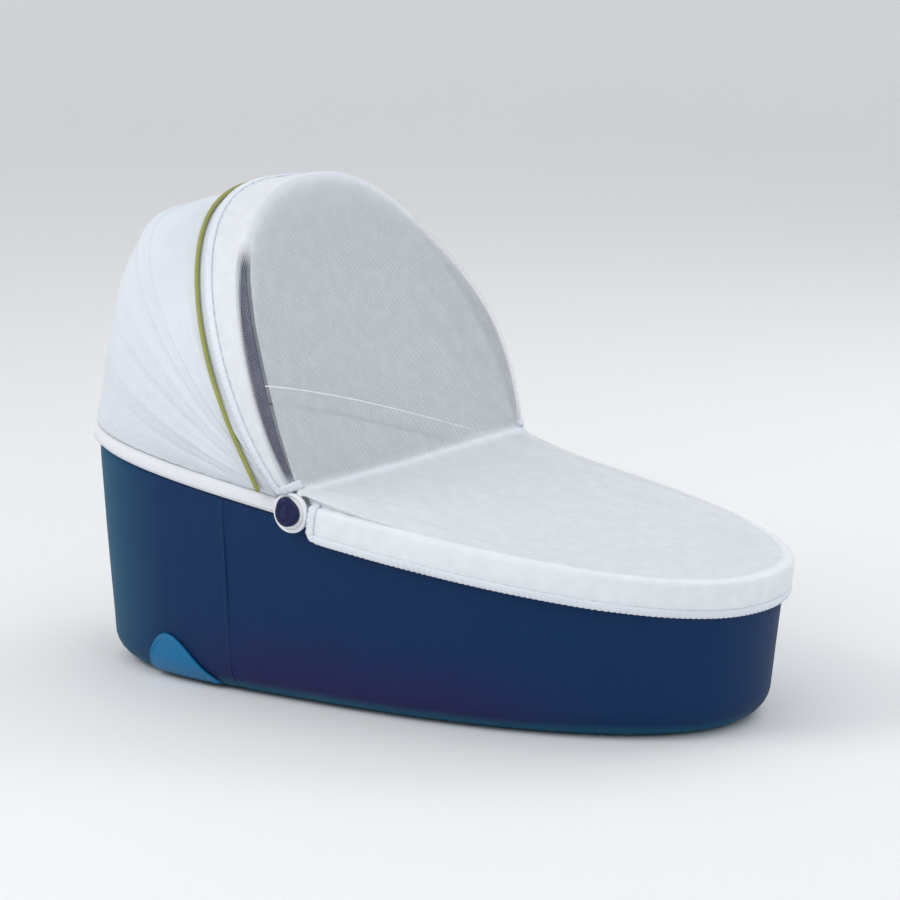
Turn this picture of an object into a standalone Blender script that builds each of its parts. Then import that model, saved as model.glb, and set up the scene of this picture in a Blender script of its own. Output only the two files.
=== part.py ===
"""Pram insect net fitted on its carrycot: a white net stretched over the hood opening and the open tub.

Metres. +X runs to the foot end, -Y is the left side, +Z is up. The origin is under the middle of the whole
thing, on the ground. The hood and the net turn about one line, the hinge line, which crosses the tub from
side to side at the height of its rim. Most sections below are arches that start and end on that line.
"""
import math

import bmesh
import bpy
from mathutils import Vector

COLLECTION = "pram_net_on_carrycot"

# Tub, seen from above: two half ovals that meet at the hinge line
HALF_WIDTH = 0.2145
HEAD_REACH = 0.357
FOOT_REACH = 0.455
HEAD_SQUARENESS = 3.2
FOOT_SQUARENESS = 2.3
HINGE_X = -0.0512
HINGE_HEIGHT = 0.216
RIM_SLOPE = math.radians(7.6)
TUB_WALL = 0.005
TUB_TAPER = 0.012
BOTTOM_ROUND = 0.036
ROUND_STEPS = 4
LIP_START = 0.93
WALL_SHARES = (0.35, 0.7, LIP_START, 1.0)
LINER_WALL = 0.004
LINER_GAP = 0.0007
RING_STEPS = 48

# Padded white rim on the tub's wall
RIM_WIDTH = 0.016
RIM_HALF_HEIGHT = 0.009
RIM_CHAMFER = 0.003
WALL_INSET = 0.0055
RIM_SEAT = 0.0008

# Hood: an arch that leans back, and a roof that runs level to a steep back
HOOP_ANGLE = math.radians(114.5)
BACK_ANGLE = math.pi - RIM_SLOPE
ROOF_HEIGHT = 0.321
ROOF_REACH = 0.357
ROOF_SQUARENESS = 4.0
ARCH_SQUARENESS = 2.45
HOOD_SIDE = 0.216
HOOD_BACK_SIDE = 0.209
HOOD_BULGE = 0.080
BULGE_START = 0.073
BULGE_LOWNESS = 0.7
HOOD_CLOTH = 0.002
HOOD_ROWS = 15
HOOD_SEAT = 0.0009
ARCH_STEPS = 36
BAY_START = 0.10
BOW_PLACE = 0.38
FRONT_BAY_SAG = 0.007
BACK_BAY_SAG = 0.010
HINGE_CLEAR = 0.0245

# Front hoop, side arms and piping
HOOP_WIDTH = 0.022
HOOP_THICKNESS = 0.005
HOOP_FOOT_SHARE = 0.2
HOOP_FOOT_SPREAD = 2.0
HOOP_FOOT_TURN = 0.004
HOOP_SEAT = 0.0007
ARM_WIDTH = 0.013
ARM_POINTEDNESS = 1.5
ARM_THICKNESS = 0.003
ARM_END_WIDTH = 0.003
ARM_STEPS = 14
ARM_TOP = 0.86
ARM_CLEAR = 0.030
PIPING_RADIUS = 0.0025
PIPING_BACK_LOW = 0.0135
PIPING_BACK_TOP = 0.0465
PIPING_SEAT = 0.0007

# Net
NET_CLOTH = 0.0015
CLOTH_CLEAR = 0.002
FRONT_CLEAR = 0.0032
SKIRT_CLEAR = 0.0031
NET_HEM_ANGLE = math.radians(119.6)
HEM_ROW_ANGLES = (math.radians(1.6), math.radians(3.4))
FRONT_FOLD_DEPTH = 0.0046
FRONT_FOLD_ROUND = 0.0008
FRONT_FOLD_TUCK = 0.004
CREASE_FORWARD = 0.0105
CREASE_UP = 0.0205
CREASE_NARROWING = 0.968
CREASE_WAVE = 0.0022
SKIN_ROWS = 6
APRON_ROWS = 8
SKIN_SAG = 0.004
SKIN_RIPPLE = 0.25
APRON_SAG = 0.004
APRON_RIPPLE = 0.35
HEM_WAVE = 0.0016
HEM_SEAT = 0.0005

# Hinge
PLATE_RADIUS = 0.022
PLATE_THICKNESS = 0.005
PLATE_SEAT = 0.0005
PLATE_EDGE = 0.001
KNOB_RADIUS = 0.014
KNOB_THICKNESS = 0.009
KNOB_EDGE = 0.003
DISC_SIDES = 28
SIDE_NAMES = {-1: "left", 1: "right"}

# Arched pads low on the tub's sides, near the head
PAD_HEAD_X = -0.274
PAD_WIDTH = 0.100
PAD_HEIGHT = 0.050
PAD_LEAN = 1.56
PAD_POINTEDNESS = 1.4
PAD_END = 0.07
PAD_BOTTOM = 0.005
PAD_THICKNESS = 0.003
PAD_STEPS = 14
PAD_ROWS = 8
PAD_SEAT = 0.0015

TOUCH = 0.0003

COLOURS = {
    "net_white": ((0.86, 0.89, 0.93), 0.85),
    "hood_white": ((0.80, 0.85, 0.90), 0.85),
    "rim_white": ((0.88, 0.90, 0.92), 0.60),
    "tub_navy": ((0.010, 0.036, 0.130), 0.55),
    "liner_white": ((0.82, 0.84, 0.87), 0.90),
    "hoop_grey": ((0.62, 0.65, 0.69), 0.45),
    "arm_navy": ((0.012, 0.022, 0.090), 0.40),
    "piping_lime": ((0.33, 0.35, 0.06), 0.60),
    "pad_blue": ((0.005, 0.200, 0.440), 0.50),
}


def clear_scene():
    for item in list(bpy.data.objects):
        bpy.data.objects.remove(item, do_unlink=True)


def make_material(name):
    colour, roughness = COLOURS[name]
    made = bpy.data.materials.new(name)
    made.use_nodes = True
    shader = made.node_tree.nodes["Principled BSDF"]
    shader.inputs["Base Color"].default_value = (*colour, 1.0)
    shader.inputs["Roughness"].default_value = roughness
    shader.inputs["Metallic"].default_value = 0.0
    made.diffuse_color = (*colour, 1.0)
    return made


def power(value, exponent):
    return math.copysign(abs(value) ** exponent, value)


def oval(turn, reach, side, squareness):
    """Along and across distances of a squared oval; turn is 0 at the left hinge and pi at the right one."""
    along = reach * power(math.sin(turn), 2 / squareness)
    across = -side * power(math.cos(turn), 2 / squareness)
    return along, across


def rim_point(x, y, lift=0.0):
    """A point on the sloping plane through the middle of the rim, or lifted off it."""
    height = HINGE_HEIGHT - (x - HINGE_X) * math.tan(RIM_SLOPE)
    return Vector((x + lift * math.sin(RIM_SLOPE), y, height + lift * math.cos(RIM_SLOPE)))


def outline(turn, inset):
    """The tub's outline from above, drawn in by inset; the foot half comes first."""
    foot = math.sin(turn) >= 0
    reach = FOOT_REACH if foot else HEAD_REACH
    squareness = FOOT_SQUARENESS if foot else HEAD_SQUARENESS
    along, across = oval(turn, reach - inset, HALF_WIDTH - inset, squareness)
    return HINGE_X + along, across


def ring_turns():
    return [math.tau * step / RING_STEPS for step in range(RING_STEPS)]


def grid_mesh(name, rows, closed_across=False, floor=False):
    """Faces between rows of points; floor fills the first row with one flat face."""
    shape = bmesh.new()
    grid = [[shape.verts.new(point) for point in row] for row in rows]
    count = len(rows[0])
    spans = count if closed_across else count - 1
    for lower, upper in zip(grid, grid[1:]):
        for place in range(spans):
            following = (place + 1) % count
            shape.faces.new((lower[place], lower[following], upper[following], upper[place]))
    if floor:
        shape.faces.new(list(reversed(grid[0])))
    mesh = bpy.data.meshes.new(name)
    shape.to_mesh(mesh)
    shape.free()
    return mesh


def section_mesh(name, sections, closed_along=False):
    """A solid through closed sections, capped at both ends unless it runs all the way round."""
    shape = bmesh.new()
    loops = [[shape.verts.new(point) for point in section] for section in sections]
    pairs = list(zip(loops, loops[1:]))
    if closed_along:
        pairs.append((loops[-1], loops[0]))
    for first, second in pairs:
        for place in range(len(first)):
            following = (place + 1) % len(first)
            shape.faces.new((first[place], first[following], second[following], second[place]))
    if not closed_along:
        shape.faces.new(list(reversed(loops[0])))
        shape.faces.new(loops[-1])
    bmesh.ops.recalc_face_normals(shape, faces=shape.faces)
    mesh = bpy.data.meshes.new(name)
    shape.to_mesh(mesh)
    shape.free()
    return mesh


def add_part(name, data, material, smooth=True):
    part = bpy.data.objects.new(name, data)
    part.data.materials.append(material)
    bpy.context.scene.collection.children[COLLECTION].objects.link(part)
    if smooth:
        part.data.shade_smooth()
    return part


def add_thickness(part, thickness, offset):
    solidify = part.modifiers.new("Thickness", "SOLIDIFY")
    solidify.thickness = thickness
    solidify.offset = offset


def tub_rows(inward, top_lift):
    """Rings of the tub's skin from the flat bottom to the rim, moved inward by a distance."""
    rounding = BOTTOM_ROUND - inward
    base_inset = WALL_INSET + TUB_TAPER + inward
    rows = []
    for step in range(ROUND_STEPS + 1):
        turn = math.pi / 2 * step / ROUND_STEPS
        inset = base_inset + rounding * (1 - math.sin(turn))
        height = inward + rounding * (1 - math.cos(turn))
        rows.append([Vector((*outline(ring, inset), height)) for ring in ring_turns()])
    for share in WALL_SHARES:
        row = []
        for ring in ring_turns():
            x, y = outline(ring, base_inset - TUB_TAPER * min(1.0, share / LIP_START))
            top = rim_point(x, y).z + top_lift
            height = BOTTOM_ROUND + (top - BOTTOM_ROUND) * share
            row.append(Vector((x, y, height)))
        rows.append(row)
    return rows


def make_tub(materials):
    top_lift = -(RIM_HALF_HEIGHT + RIM_SEAT) / math.cos(RIM_SLOPE)
    shell = grid_mesh("tub_shell", tub_rows(0.0, top_lift), closed_across=True, floor=True)
    tub = add_part("tub_shell", shell, materials["tub_navy"])
    add_thickness(tub, TUB_WALL, -1.0)
    lining = grid_mesh("tub_liner", tub_rows(TUB_WALL + LINER_GAP, top_lift), closed_across=True, floor=True)
    liner = add_part("tub_liner", lining, materials["liner_white"])
    add_thickness(liner, LINER_WALL, -1.0)


def make_rim(materials):
    half = RIM_HALF_HEIGHT
    corner = RIM_CHAMFER
    profile = [(0.0, corner - half), (0.0, half - corner), (corner, half), (RIM_WIDTH - corner, half),
               (RIM_WIDTH, half - corner), (RIM_WIDTH, corner - half), (RIM_WIDTH - corner, -half),
               (corner, -half)]
    sections = []
    for turn in ring_turns():
        sections.append([rim_point(*outline(turn, inset), lift) for inset, lift in profile])
    add_part("tub_rim", section_mesh("tub_rim", sections, closed_along=True), materials["rim_white"])


def roof_reach(angle):
    """How far the hood reaches from the hinge line, at an angle measured from the foot end."""
    level = abs(math.cos(angle)) / ROOF_REACH
    upright = abs(math.sin(angle)) / ROOF_HEIGHT
    return (level ** ROOF_SQUARENESS + upright ** ROOF_SQUARENESS) ** (-1 / ROOF_SQUARENESS)


def bay_sag(share):
    """The cloth dips between the front hoop, the back bow and the rim."""
    if share < BAY_START:
        return 0.0
    if share < BOW_PLACE:
        return FRONT_BAY_SAG * math.sin(math.pi * (share - BAY_START) / (BOW_PLACE - BAY_START))
    return BACK_BAY_SAG * math.sin(math.pi * (share - BOW_PLACE) / (1 - BOW_PLACE))


def hood_point(angle, turn, off=0.0, lift=0.0, floor=None):
    """A point of the hood's arch in a plane through the hinge line, moved off the cloth and off the plane."""
    share = (angle - HOOP_ANGLE) / (BACK_ANGLE - HOOP_ANGLE)
    inner = max(0.0, min(1.0, share))
    squareness = ARCH_SQUARENESS + (HEAD_SQUARENESS - ARCH_SQUARENESS) * inner
    side = HOOD_SIDE + (HOOD_BACK_SIDE - HOOD_SIDE) * inner ** 4 + off
    reach = roof_reach(angle) + off
    along, across = oval(turn, reach, side, squareness)
    level = max(0.0, min(1.0, along / reach) - BULGE_START) / (1 - BULGE_START)
    across *= 1 + HOOD_BULGE * (1 - inner ** 3) * math.sin(math.pi * level ** BULGE_LOWNESS)
    along -= bay_sag(share) * math.sin(turn) ** 2
    across *= 1 - bay_sag(share) * math.sin(turn) ** 2 / HOOD_SIDE
    if floor is not None:
        along = max(along, floor)
    x = HINGE_X + along * math.cos(angle) + lift * math.sin(angle)
    z = HINGE_HEIGHT + along * math.sin(angle) - lift * math.cos(angle)
    return Vector((x, across, z))


def arch_turns(clear, reach, squareness, steps, last=None):
    """Turns along an arch, from where it is clear of the hinge to the other side or to a last turn."""
    start = math.asin((clear / reach) ** (squareness / 2))
    end = math.pi - start if last is None else last
    return [start + (end - start) * step / steps for step in range(steps + 1)]


def hood_turns(steps=ARCH_STEPS, clear=HINGE_CLEAR):
    return arch_turns(clear, roof_reach(HOOP_ANGLE), ARCH_SQUARENESS, steps)


def make_hood(materials):
    back_lift = RIM_HALF_HEIGHT + HOOD_SEAT
    stations = [(HOOP_ANGLE, HOOP_WIDTH / 2), (HOOP_ANGLE, 0.0)]
    for row in range(1, HOOD_ROWS):
        share = row / (HOOD_ROWS - 1)
        angle = HOOP_ANGLE + (BACK_ANGLE - HOOP_ANGLE) * share
        stations.append((angle, back_lift * share))
    rows = []
    for angle, lift in stations:
        clear_turns = arch_turns(HINGE_CLEAR, roof_reach(angle), ARCH_SQUARENESS
                                 + (HEAD_SQUARENESS - ARCH_SQUARENESS)
                                 * (angle - HOOP_ANGLE) / (BACK_ANGLE - HOOP_ANGLE), ARCH_STEPS)
        rows.append([hood_point(angle, turn, lift=lift) for turn in clear_turns])
    hood = add_part("hood_cloth", grid_mesh("hood_cloth", rows), materials["hood_white"])
    add_thickness(hood, HOOD_CLOTH, 0.0)


def arch_level(turn):
    return math.sin(turn) ** (2 / ARCH_SQUARENESS)


def hoop_floor(lift):
    """The arch distance at which a hoop edge stands on top of the rim."""
    rise = math.sin(HOOP_ANGLE + RIM_SLOPE)
    tilt = -math.cos(HOOP_ANGLE + RIM_SLOPE)
    return (RIM_HALF_HEIGHT + TOUCH - lift * tilt) / rise


def make_hoop(materials):
    outer = -(HOOD_CLOTH / 2 + HOOP_SEAT)
    inner = outer - HOOP_THICKNESS
    half = HOOP_WIDTH / 2
    sections = []
    for turn in [HOOP_FOOT_TURN] + hood_turns() + [math.pi - HOOP_FOOT_TURN]:
        back = -half * min(1.0, HOOP_FOOT_SHARE + HOOP_FOOT_SPREAD * arch_level(turn))
        corners = [(outer, back), (outer, half), (inner, half), (inner, back)]
        section = []
        for off, lift in corners:
            section.append(hood_point(HOOP_ANGLE, turn, off=off, lift=lift, floor=hoop_floor(lift)))
        sections.append(section)
    add_part("front_hoop", section_mesh("front_hoop", sections), materials["hoop_grey"], smooth=False)


def arm_width(level):
    """Width of the crescent arm in front of the hoop, by its share of the hoop's height."""
    if level >= ARM_TOP:
        return 0.0
    return ARM_WIDTH * math.sin(math.pi * level / ARM_TOP) ** ARM_POINTEDNESS


def make_arms(materials):
    back = HOOP_WIDTH / 2 + TOUCH
    outer = -(HOOD_CLOTH / 2 + HOOP_SEAT)
    inner = outer - ARM_THICKNESS
    top_turn = math.asin(ARM_TOP ** (ARCH_SQUARENESS / 2))
    for side, side_name in SIDE_NAMES.items():
        sections = []
        turns = arch_turns(ARM_CLEAR, roof_reach(HOOP_ANGLE), ARCH_SQUARENESS, ARM_STEPS, last=top_turn)
        for turn in turns:
            front = back + ARM_END_WIDTH + arm_width(arch_level(turn))
            placed = turn if side < 0 else math.pi - turn
            corners = [(outer, back), (outer, front), (inner, front), (inner, back)]
            sections.append([hood_point(HOOP_ANGLE, placed, off=off, lift=lift) for off, lift in corners])
        name = "hood_arm_" + side_name
        add_part(name, section_mesh(name, sections), materials["arm_navy"], smooth=False)


def make_piping(materials):
    off = HOOD_CLOTH / 2 + PIPING_SEAT + PIPING_RADIUS
    curve = bpy.data.curves.new("hood_piping", "CURVE")
    curve.dimensions = "3D"
    curve.bevel_depth = PIPING_RADIUS
    curve.bevel_resolution = 1
    curve.use_fill_caps = True
    spline = curve.splines.new("POLY")
    turns = hood_turns()
    spline.points.add(len(turns) - 1)
    for point, turn in zip(spline.points, turns):
        level = arch_level(turn)
        behind = PIPING_BACK_LOW + (PIPING_BACK_TOP - PIPING_BACK_LOW) * level
        angle = HOOP_ANGLE + math.asin(behind / (level * roof_reach(HOOP_ANGLE)))
        point.co = (*hood_point(angle, turn, off=off), 1.0)
    add_part("hood_piping", curve, materials["piping_lime"], smooth=False)


def hem_wave(turn, seed):
    """Uneven outward waves of a gathered hem, never inward."""
    wave = math.sin(23 * turn + seed) + 0.6 * math.sin(37 * turn + 2.1 * seed) + 0.4 * math.sin(11 * turn)
    return HEM_WAVE * (0.5 + wave / 4)


def hood_rows(turns):
    """Net over the hood's edge, from its gathered hem, forward and round the hoop and the arms."""
    off = HOOD_CLOTH / 2 + CLOTH_CLEAR + NET_CLOTH / 2
    hem_off = HOOD_CLOTH / 2 + HEM_SEAT + NET_CLOTH / 2
    edge = HOOP_WIDTH / 2
    front = edge + TOUCH + ARM_END_WIDTH + FRONT_CLEAR + NET_CLOTH / 2
    folds = [
        # angle, lift, off, wave share, arm share
        (NET_HEM_ANGLE, -0.001, hem_off, 1.0, 0.0),
        (NET_HEM_ANGLE - HEM_ROW_ANGLES[0], 0.0, off, 0.5, 0.0),
        (NET_HEM_ANGLE - HEM_ROW_ANGLES[1], 0.001, off, 0.2, 0.0),
        (HOOP_ANGLE, 0.003, off, 0.0, 0.0),
        (HOOP_ANGLE, edge - 0.002, off, 0.0, 0.4),
        (HOOP_ANGLE, front - FRONT_FOLD_DEPTH, off - FRONT_FOLD_ROUND / 2, 0.0, 1.0),
        (HOOP_ANGLE, front - FRONT_FOLD_ROUND, 0.0006, 0.0, 1.0),
        (HOOP_ANGLE, front, -FRONT_FOLD_TUCK, 0.0, 1.0),
    ]
    rows = []
    for angle, lift, away, wave, arm in folds:
        row = []
        for turn in turns:
            forward = lift + arm * arm_width(arch_level(turn))
            row.append(hood_point(angle, turn, off=away + wave * hem_wave(turn, 1.0), lift=forward))
        rows.append(row)
    return rows


def skirt_rows(turns):
    """Net over the tub's rim, out to its gathered hem, which is drawn in under the rim."""
    out = SKIRT_CLEAR + NET_CLOTH / 2
    top = RIM_HALF_HEIGHT + CLOTH_CLEAR + NET_CLOTH / 2
    folds = [
        # outset, lift, wave share
        (-0.0060, top + 0.0006, 0.0),
        (0.0008, top - 0.0002, 0.0),
        (out - 0.0004, top - 0.0032, 0.0),
        (out, 0.0030, 0.2),
        (out, -0.0070, 0.5),
        (out - 0.0006, -0.0140, 1.0),
        (out - 0.0026, -0.0210, 1.0),
    ]
    rows = []
    for outset, lift, wave in folds:
        row = []
        for turn in turns:
            drawn = outset + wave * hem_wave(turn, 2.0)
            x, y = outline(turn, -drawn)
            row.append(rim_point(x, y, lift))
        rows.append(row)
    return rows


def crease_row(edge_row):
    """The line from hinge to hinge where the net bends, slightly wavy, narrower than the hoop's foot."""
    row = []
    last = len(edge_row) - 1
    for place, edge in enumerate(edge_row):
        share = place / last
        across = edge.y * CREASE_NARROWING
        wave = CREASE_WAVE * math.sin(math.pi * share) * (1 + 0.7 * math.sin(9 * share + 0.6))
        row.append(Vector((HINGE_X + CREASE_FORWARD, across, HINGE_HEIGHT + CREASE_UP + wave)))
    return row


def between(start_row, end_row, count, sag_direction, sag, ripple):
    """Rows between two rows, sagging along a direction with soft uneven ripples."""
    rows = []
    last = len(start_row) - 1
    for step in range(1, count):
        share = step / count
        row = []
        for place, (start, end) in enumerate(zip(start_row, end_row)):
            across = place / last
            belly = math.sin(math.pi * share) * math.sin(math.pi * across)
            soft = 1 + ripple * math.sin(14 * across + 5 * share) * math.sin(math.pi * across)
            row.append(start.lerp(end, share) + sag_direction * sag * belly * soft)
        rows.append(row)
    return rows


def make_net(materials):
    turns = hood_turns()
    over_hood = hood_rows(turns)
    over_rim = skirt_rows(turns)
    crease = crease_row(over_hood[-1])
    inward = Vector((-math.sin(HOOP_ANGLE), 0.0, math.cos(HOOP_ANGLE)))
    down = Vector((0.0, 0.0, -1.0))
    rows = list(over_hood)
    rows += between(over_hood[-1], crease, SKIN_ROWS, inward, SKIN_SAG, SKIN_RIPPLE)
    rows.append(crease)
    rows += between(crease, over_rim[0], APRON_ROWS, down, APRON_SAG, APRON_RIPPLE)
    rows += over_rim
    net = add_part("net_cover", grid_mesh("net_cover", rows), materials["net_white"])
    add_thickness(net, NET_CLOTH, 0.0)


def add_disc(name, radius, thickness, inner_face, side, bevel, material):
    bpy.ops.mesh.primitive_cylinder_add(vertices=DISC_SIDES, radius=radius, depth=thickness)
    disc = bpy.context.object
    disc.name = name
    disc.data.name = name
    disc.rotation_euler = (math.pi / 2, 0.0, 0.0)
    disc.location = (HINGE_X, side * (inner_face + thickness / 2), HINGE_HEIGHT)
    for collection in list(disc.users_collection):
        collection.objects.unlink(disc)
    bpy.context.scene.collection.children[COLLECTION].objects.link(disc)
    disc.data.materials.append(material)
    edge = disc.modifiers.new("Edge", "BEVEL")
    edge.width = bevel
    edge.segments = 2
    edge.limit_method = "ANGLE"
    disc.data.shade_smooth()


def make_hinges(materials):
    plate_face = HALF_WIDTH + PLATE_SEAT
    knob_face = plate_face + PLATE_THICKNESS + TOUCH
    for side, side_name in SIDE_NAMES.items():
        add_disc("hinge_plate_" + side_name, PLATE_RADIUS, PLATE_THICKNESS, plate_face, side, PLATE_EDGE,
                 materials["rim_white"])
        add_disc("hinge_knob_" + side_name, KNOB_RADIUS, KNOB_THICKNESS, knob_face, side, KNOB_EDGE,
                 materials["arm_navy"])


def wall_point(x, height, side, outward):
    """A point off the tub's outer wall, by its place along the tub and its height."""
    top = rim_point(x, 0.0).z - RIM_HALF_HEIGHT
    share = max(0.0, (height - BOTTOM_ROUND) / (top - BOTTOM_ROUND))
    inset = WALL_INSET + TUB_TAPER * (1 - share) - outward
    below = max(0.0, BOTTOM_ROUND - height)
    inset += BOTTOM_ROUND - math.sqrt(BOTTOM_ROUND ** 2 - below ** 2)
    reach = HEAD_REACH - inset
    level = min(1.0, (HINGE_X - x) / reach)
    half = (HALF_WIDTH - inset) * (1 - level ** HEAD_SQUARENESS) ** (1 / HEAD_SQUARENESS)
    return Vector((x, side * half, height))


def pad_arch(share):
    return math.sin(math.pi * (PAD_END + (1 - 2 * PAD_END) * share)) ** PAD_POINTEDNESS


def make_pads(materials):
    for side, side_name in SIDE_NAMES.items():
        rows = []
        for row_step in range(PAD_ROWS + 1):
            row = []
            for step in range(PAD_STEPS + 1):
                share = step / PAD_STEPS
                x = PAD_HEAD_X + PAD_WIDTH * share ** PAD_LEAN
                height = PAD_BOTTOM + PAD_HEIGHT * pad_arch(share) * row_step / PAD_ROWS
                row.append(wall_point(x, height, side, PAD_SEAT))
            rows.append(row if side < 0 else row[::-1])
        name = "side_pad_" + side_name
        pad = add_part(name, grid_mesh(name, rows), materials["pad_blue"])
        add_thickness(pad, PAD_THICKNESS, 1.0)


def main():
    clear_scene()
    collection = bpy.data.collections.new(COLLECTION)
    bpy.context.scene.collection.children.link(collection)
    materials = {name: make_material(name) for name in COLOURS}
    make_tub(materials)
    make_rim(materials)
    make_hood(materials)
    make_hoop(materials)
    make_arms(materials)
    make_piping(materials)
    make_net(materials)
    make_hinges(materials)
    make_pads(materials)


main()
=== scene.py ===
"""Looks of a pram insect net on its carrycot: mesh net, padded hood and tub, hinges and studio."""
import math

import bmesh
import bpy
from bpy.props import FloatProperty, FloatVectorProperty, PointerProperty
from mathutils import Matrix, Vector, noise


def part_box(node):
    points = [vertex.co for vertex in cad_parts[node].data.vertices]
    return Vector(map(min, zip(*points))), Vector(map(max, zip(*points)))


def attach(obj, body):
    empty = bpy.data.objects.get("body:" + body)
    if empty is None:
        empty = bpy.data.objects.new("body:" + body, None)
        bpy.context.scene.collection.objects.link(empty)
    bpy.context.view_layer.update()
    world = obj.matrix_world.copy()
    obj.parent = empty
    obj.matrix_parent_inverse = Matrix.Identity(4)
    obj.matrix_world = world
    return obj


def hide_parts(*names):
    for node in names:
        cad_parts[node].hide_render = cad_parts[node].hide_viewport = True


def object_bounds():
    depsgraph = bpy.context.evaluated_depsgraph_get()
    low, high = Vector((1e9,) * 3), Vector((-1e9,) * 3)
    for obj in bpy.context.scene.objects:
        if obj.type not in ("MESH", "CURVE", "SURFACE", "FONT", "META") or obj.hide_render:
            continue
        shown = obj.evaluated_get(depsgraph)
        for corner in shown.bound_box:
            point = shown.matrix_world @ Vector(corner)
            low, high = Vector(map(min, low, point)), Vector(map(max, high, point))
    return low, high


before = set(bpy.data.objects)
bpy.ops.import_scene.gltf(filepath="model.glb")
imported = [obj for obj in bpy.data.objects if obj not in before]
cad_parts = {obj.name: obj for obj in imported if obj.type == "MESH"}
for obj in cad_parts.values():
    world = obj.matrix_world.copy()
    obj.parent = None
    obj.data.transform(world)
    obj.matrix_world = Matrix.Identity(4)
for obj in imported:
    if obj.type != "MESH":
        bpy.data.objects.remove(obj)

bl_info = {
    "name": "Pram insect net on a carrycot",
    "version": (1, 0, 0),
    "blender": (4, 5, 0),
    "location": "View3D > Sidebar > Carrycot",
    "description": "Dresses a carrycot and the fine net stretched over its hood and tub",
    "category": "Object",
}

CAD_BOUNDS = [list(corner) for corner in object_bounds()]

# Places read from the frame
RIM_LOW, RIM_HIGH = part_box("tub_rim")
PLATE_LOW, PLATE_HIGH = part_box("hinge_plate_left")
HINGE_X = (PLATE_LOW[0] + PLATE_HIGH[0]) / 2
HINGE_HEIGHT = (PLATE_LOW[2] + PLATE_HIGH[2]) / 2
HALF_WIDTH = RIM_HIGH[1]
SIDES = {-1: "left", 1: "right"}

# Tub, in metres: two half ovals that meet at the hinge line
HEAD_REACH = 0.357
FOOT_REACH = 0.455
HEAD_SQUARENESS = 3.2
FOOT_SQUARENESS = 2.3
RIM_SLOPE = math.radians(7.6)
RIM_WIDTH = 0.016
RIM_HALF_HEIGHT = 0.009
WALL_INSET = 0.0055
TUB_TAPER = 0.012
TUB_WALL = 0.0045
BOTTOM_ROUND = 0.036
LIP_START = 0.93
LINER_INWARD = 0.0104

# Hood
HOOP_ANGLE = math.radians(114.5)
BACK_ANGLE = math.pi - RIM_SLOPE
ROOF_HEIGHT = 0.321
ROOF_REACH = 0.357
ROOF_SQUARENESS = 4.0
ARCH_SQUARENESS = 2.45
HOOD_SIDE = 0.216
HOOD_BACK_SIDE = 0.209
HOOD_BULGE = 0.080
BULGE_START = 0.073
BAY_START = 0.10
BOW_PLACE = 0.38
FRONT_BAY_SAG = 0.007
BACK_BAY_SAG = 0.010
HINGE_CLEAR = 0.0245
HOOP_HALF = 0.011

# Net
NET_HEM_ANGLE = math.radians(119.6)
NET_OFF = 0.00375
NET_FRONT = 0.01825
CREASE_FORWARD = 0.0105
CREASE_UP = 0.0205
CREASE_NARROWING = 0.968
SKIN_SAG = 0.004
APRON_SAG = 0.004
ARM_WIDTH = 0.013
ARM_TOP = 0.86
ARM_CLEAR = 0.030


def smooth(value, low, high):
    share = max(0.0, min(1.0, (value - low) / (high - low)))
    return share * share * (3 - 2 * share)


def bump(value, centre, width):
    return math.exp(-((value - centre) / width) ** 2)


def soft(x, y=0.0, z=0.0):
    """Smooth noise from -1 to 1 that never changes from run to run."""
    return noise.noise(Vector((x, y, z)))


def power(value, exponent):
    return math.copysign(abs(value) ** exponent, value)


def oval(turn, reach, side, squareness):
    """Along and across distances of a squared oval; turn is 0 at the left hinge and pi at the right one."""
    return reach * power(math.sin(turn), 2 / squareness), -side * power(math.cos(turn), 2 / squareness)


def rim_point(x, y, lift=0.0):
    """A point on the sloping plane through the middle of the rim, or lifted off it."""
    height = HINGE_HEIGHT - (x - HINGE_X) * math.tan(RIM_SLOPE)
    return Vector((x + lift * math.sin(RIM_SLOPE), y, height + lift * math.cos(RIM_SLOPE)))


def outline(turn, inset):
    """The tub's outline from above, drawn in by inset; the foot half comes first."""
    foot = math.sin(turn) >= 0
    reach = FOOT_REACH if foot else HEAD_REACH
    squareness = FOOT_SQUARENESS if foot else HEAD_SQUARENESS
    along, across = oval(turn, reach - inset, HALF_WIDTH - inset, squareness)
    return HINGE_X + along, across


def spaced_turns(fine, points, steps, closed=False):
    """Turns at nearly even spacing, picked between fine turns by the distance along their points."""
    runs = [0.0]
    for first, second in zip(points, points[1:]):
        runs.append(runs[-1] + (second - first).length)
    turns, place = [], 0
    for step in range(steps if closed else steps + 1):
        wanted = min(runs[-1] * step / steps, runs[-1] - 1e-9)
        while runs[place + 1] < wanted:
            place += 1
        share = (wanted - runs[place]) / (runs[place + 1] - runs[place])
        turns.append(fine[place] + (fine[place + 1] - fine[place]) * share)
    return turns


def even_ring(steps):
    """Turns round the outline at nearly even spacing."""
    fine = [math.tau * place / 1440 for place in range(1441)]
    return spaced_turns(fine, [Vector(outline(turn, 0.0)) for turn in fine], steps, closed=True)


def roof_reach(angle):
    """How far the hood reaches from the hinge line, at an angle measured from the foot end."""
    level = abs(math.cos(angle)) / ROOF_REACH
    upright = abs(math.sin(angle)) / ROOF_HEIGHT
    return (level ** ROOF_SQUARENESS + upright ** ROOF_SQUARENESS) ** (-1 / ROOF_SQUARENESS)


def bay_sag(share):
    """The cloth dips between the front hoop, the back bow and the rim."""
    if share < BAY_START:
        return 0.0
    if share < BOW_PLACE:
        return FRONT_BAY_SAG * math.sin(math.pi * (share - BAY_START) / (BOW_PLACE - BAY_START))
    return BACK_BAY_SAG * math.sin(math.pi * (share - BOW_PLACE) / (1 - BOW_PLACE))


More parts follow.
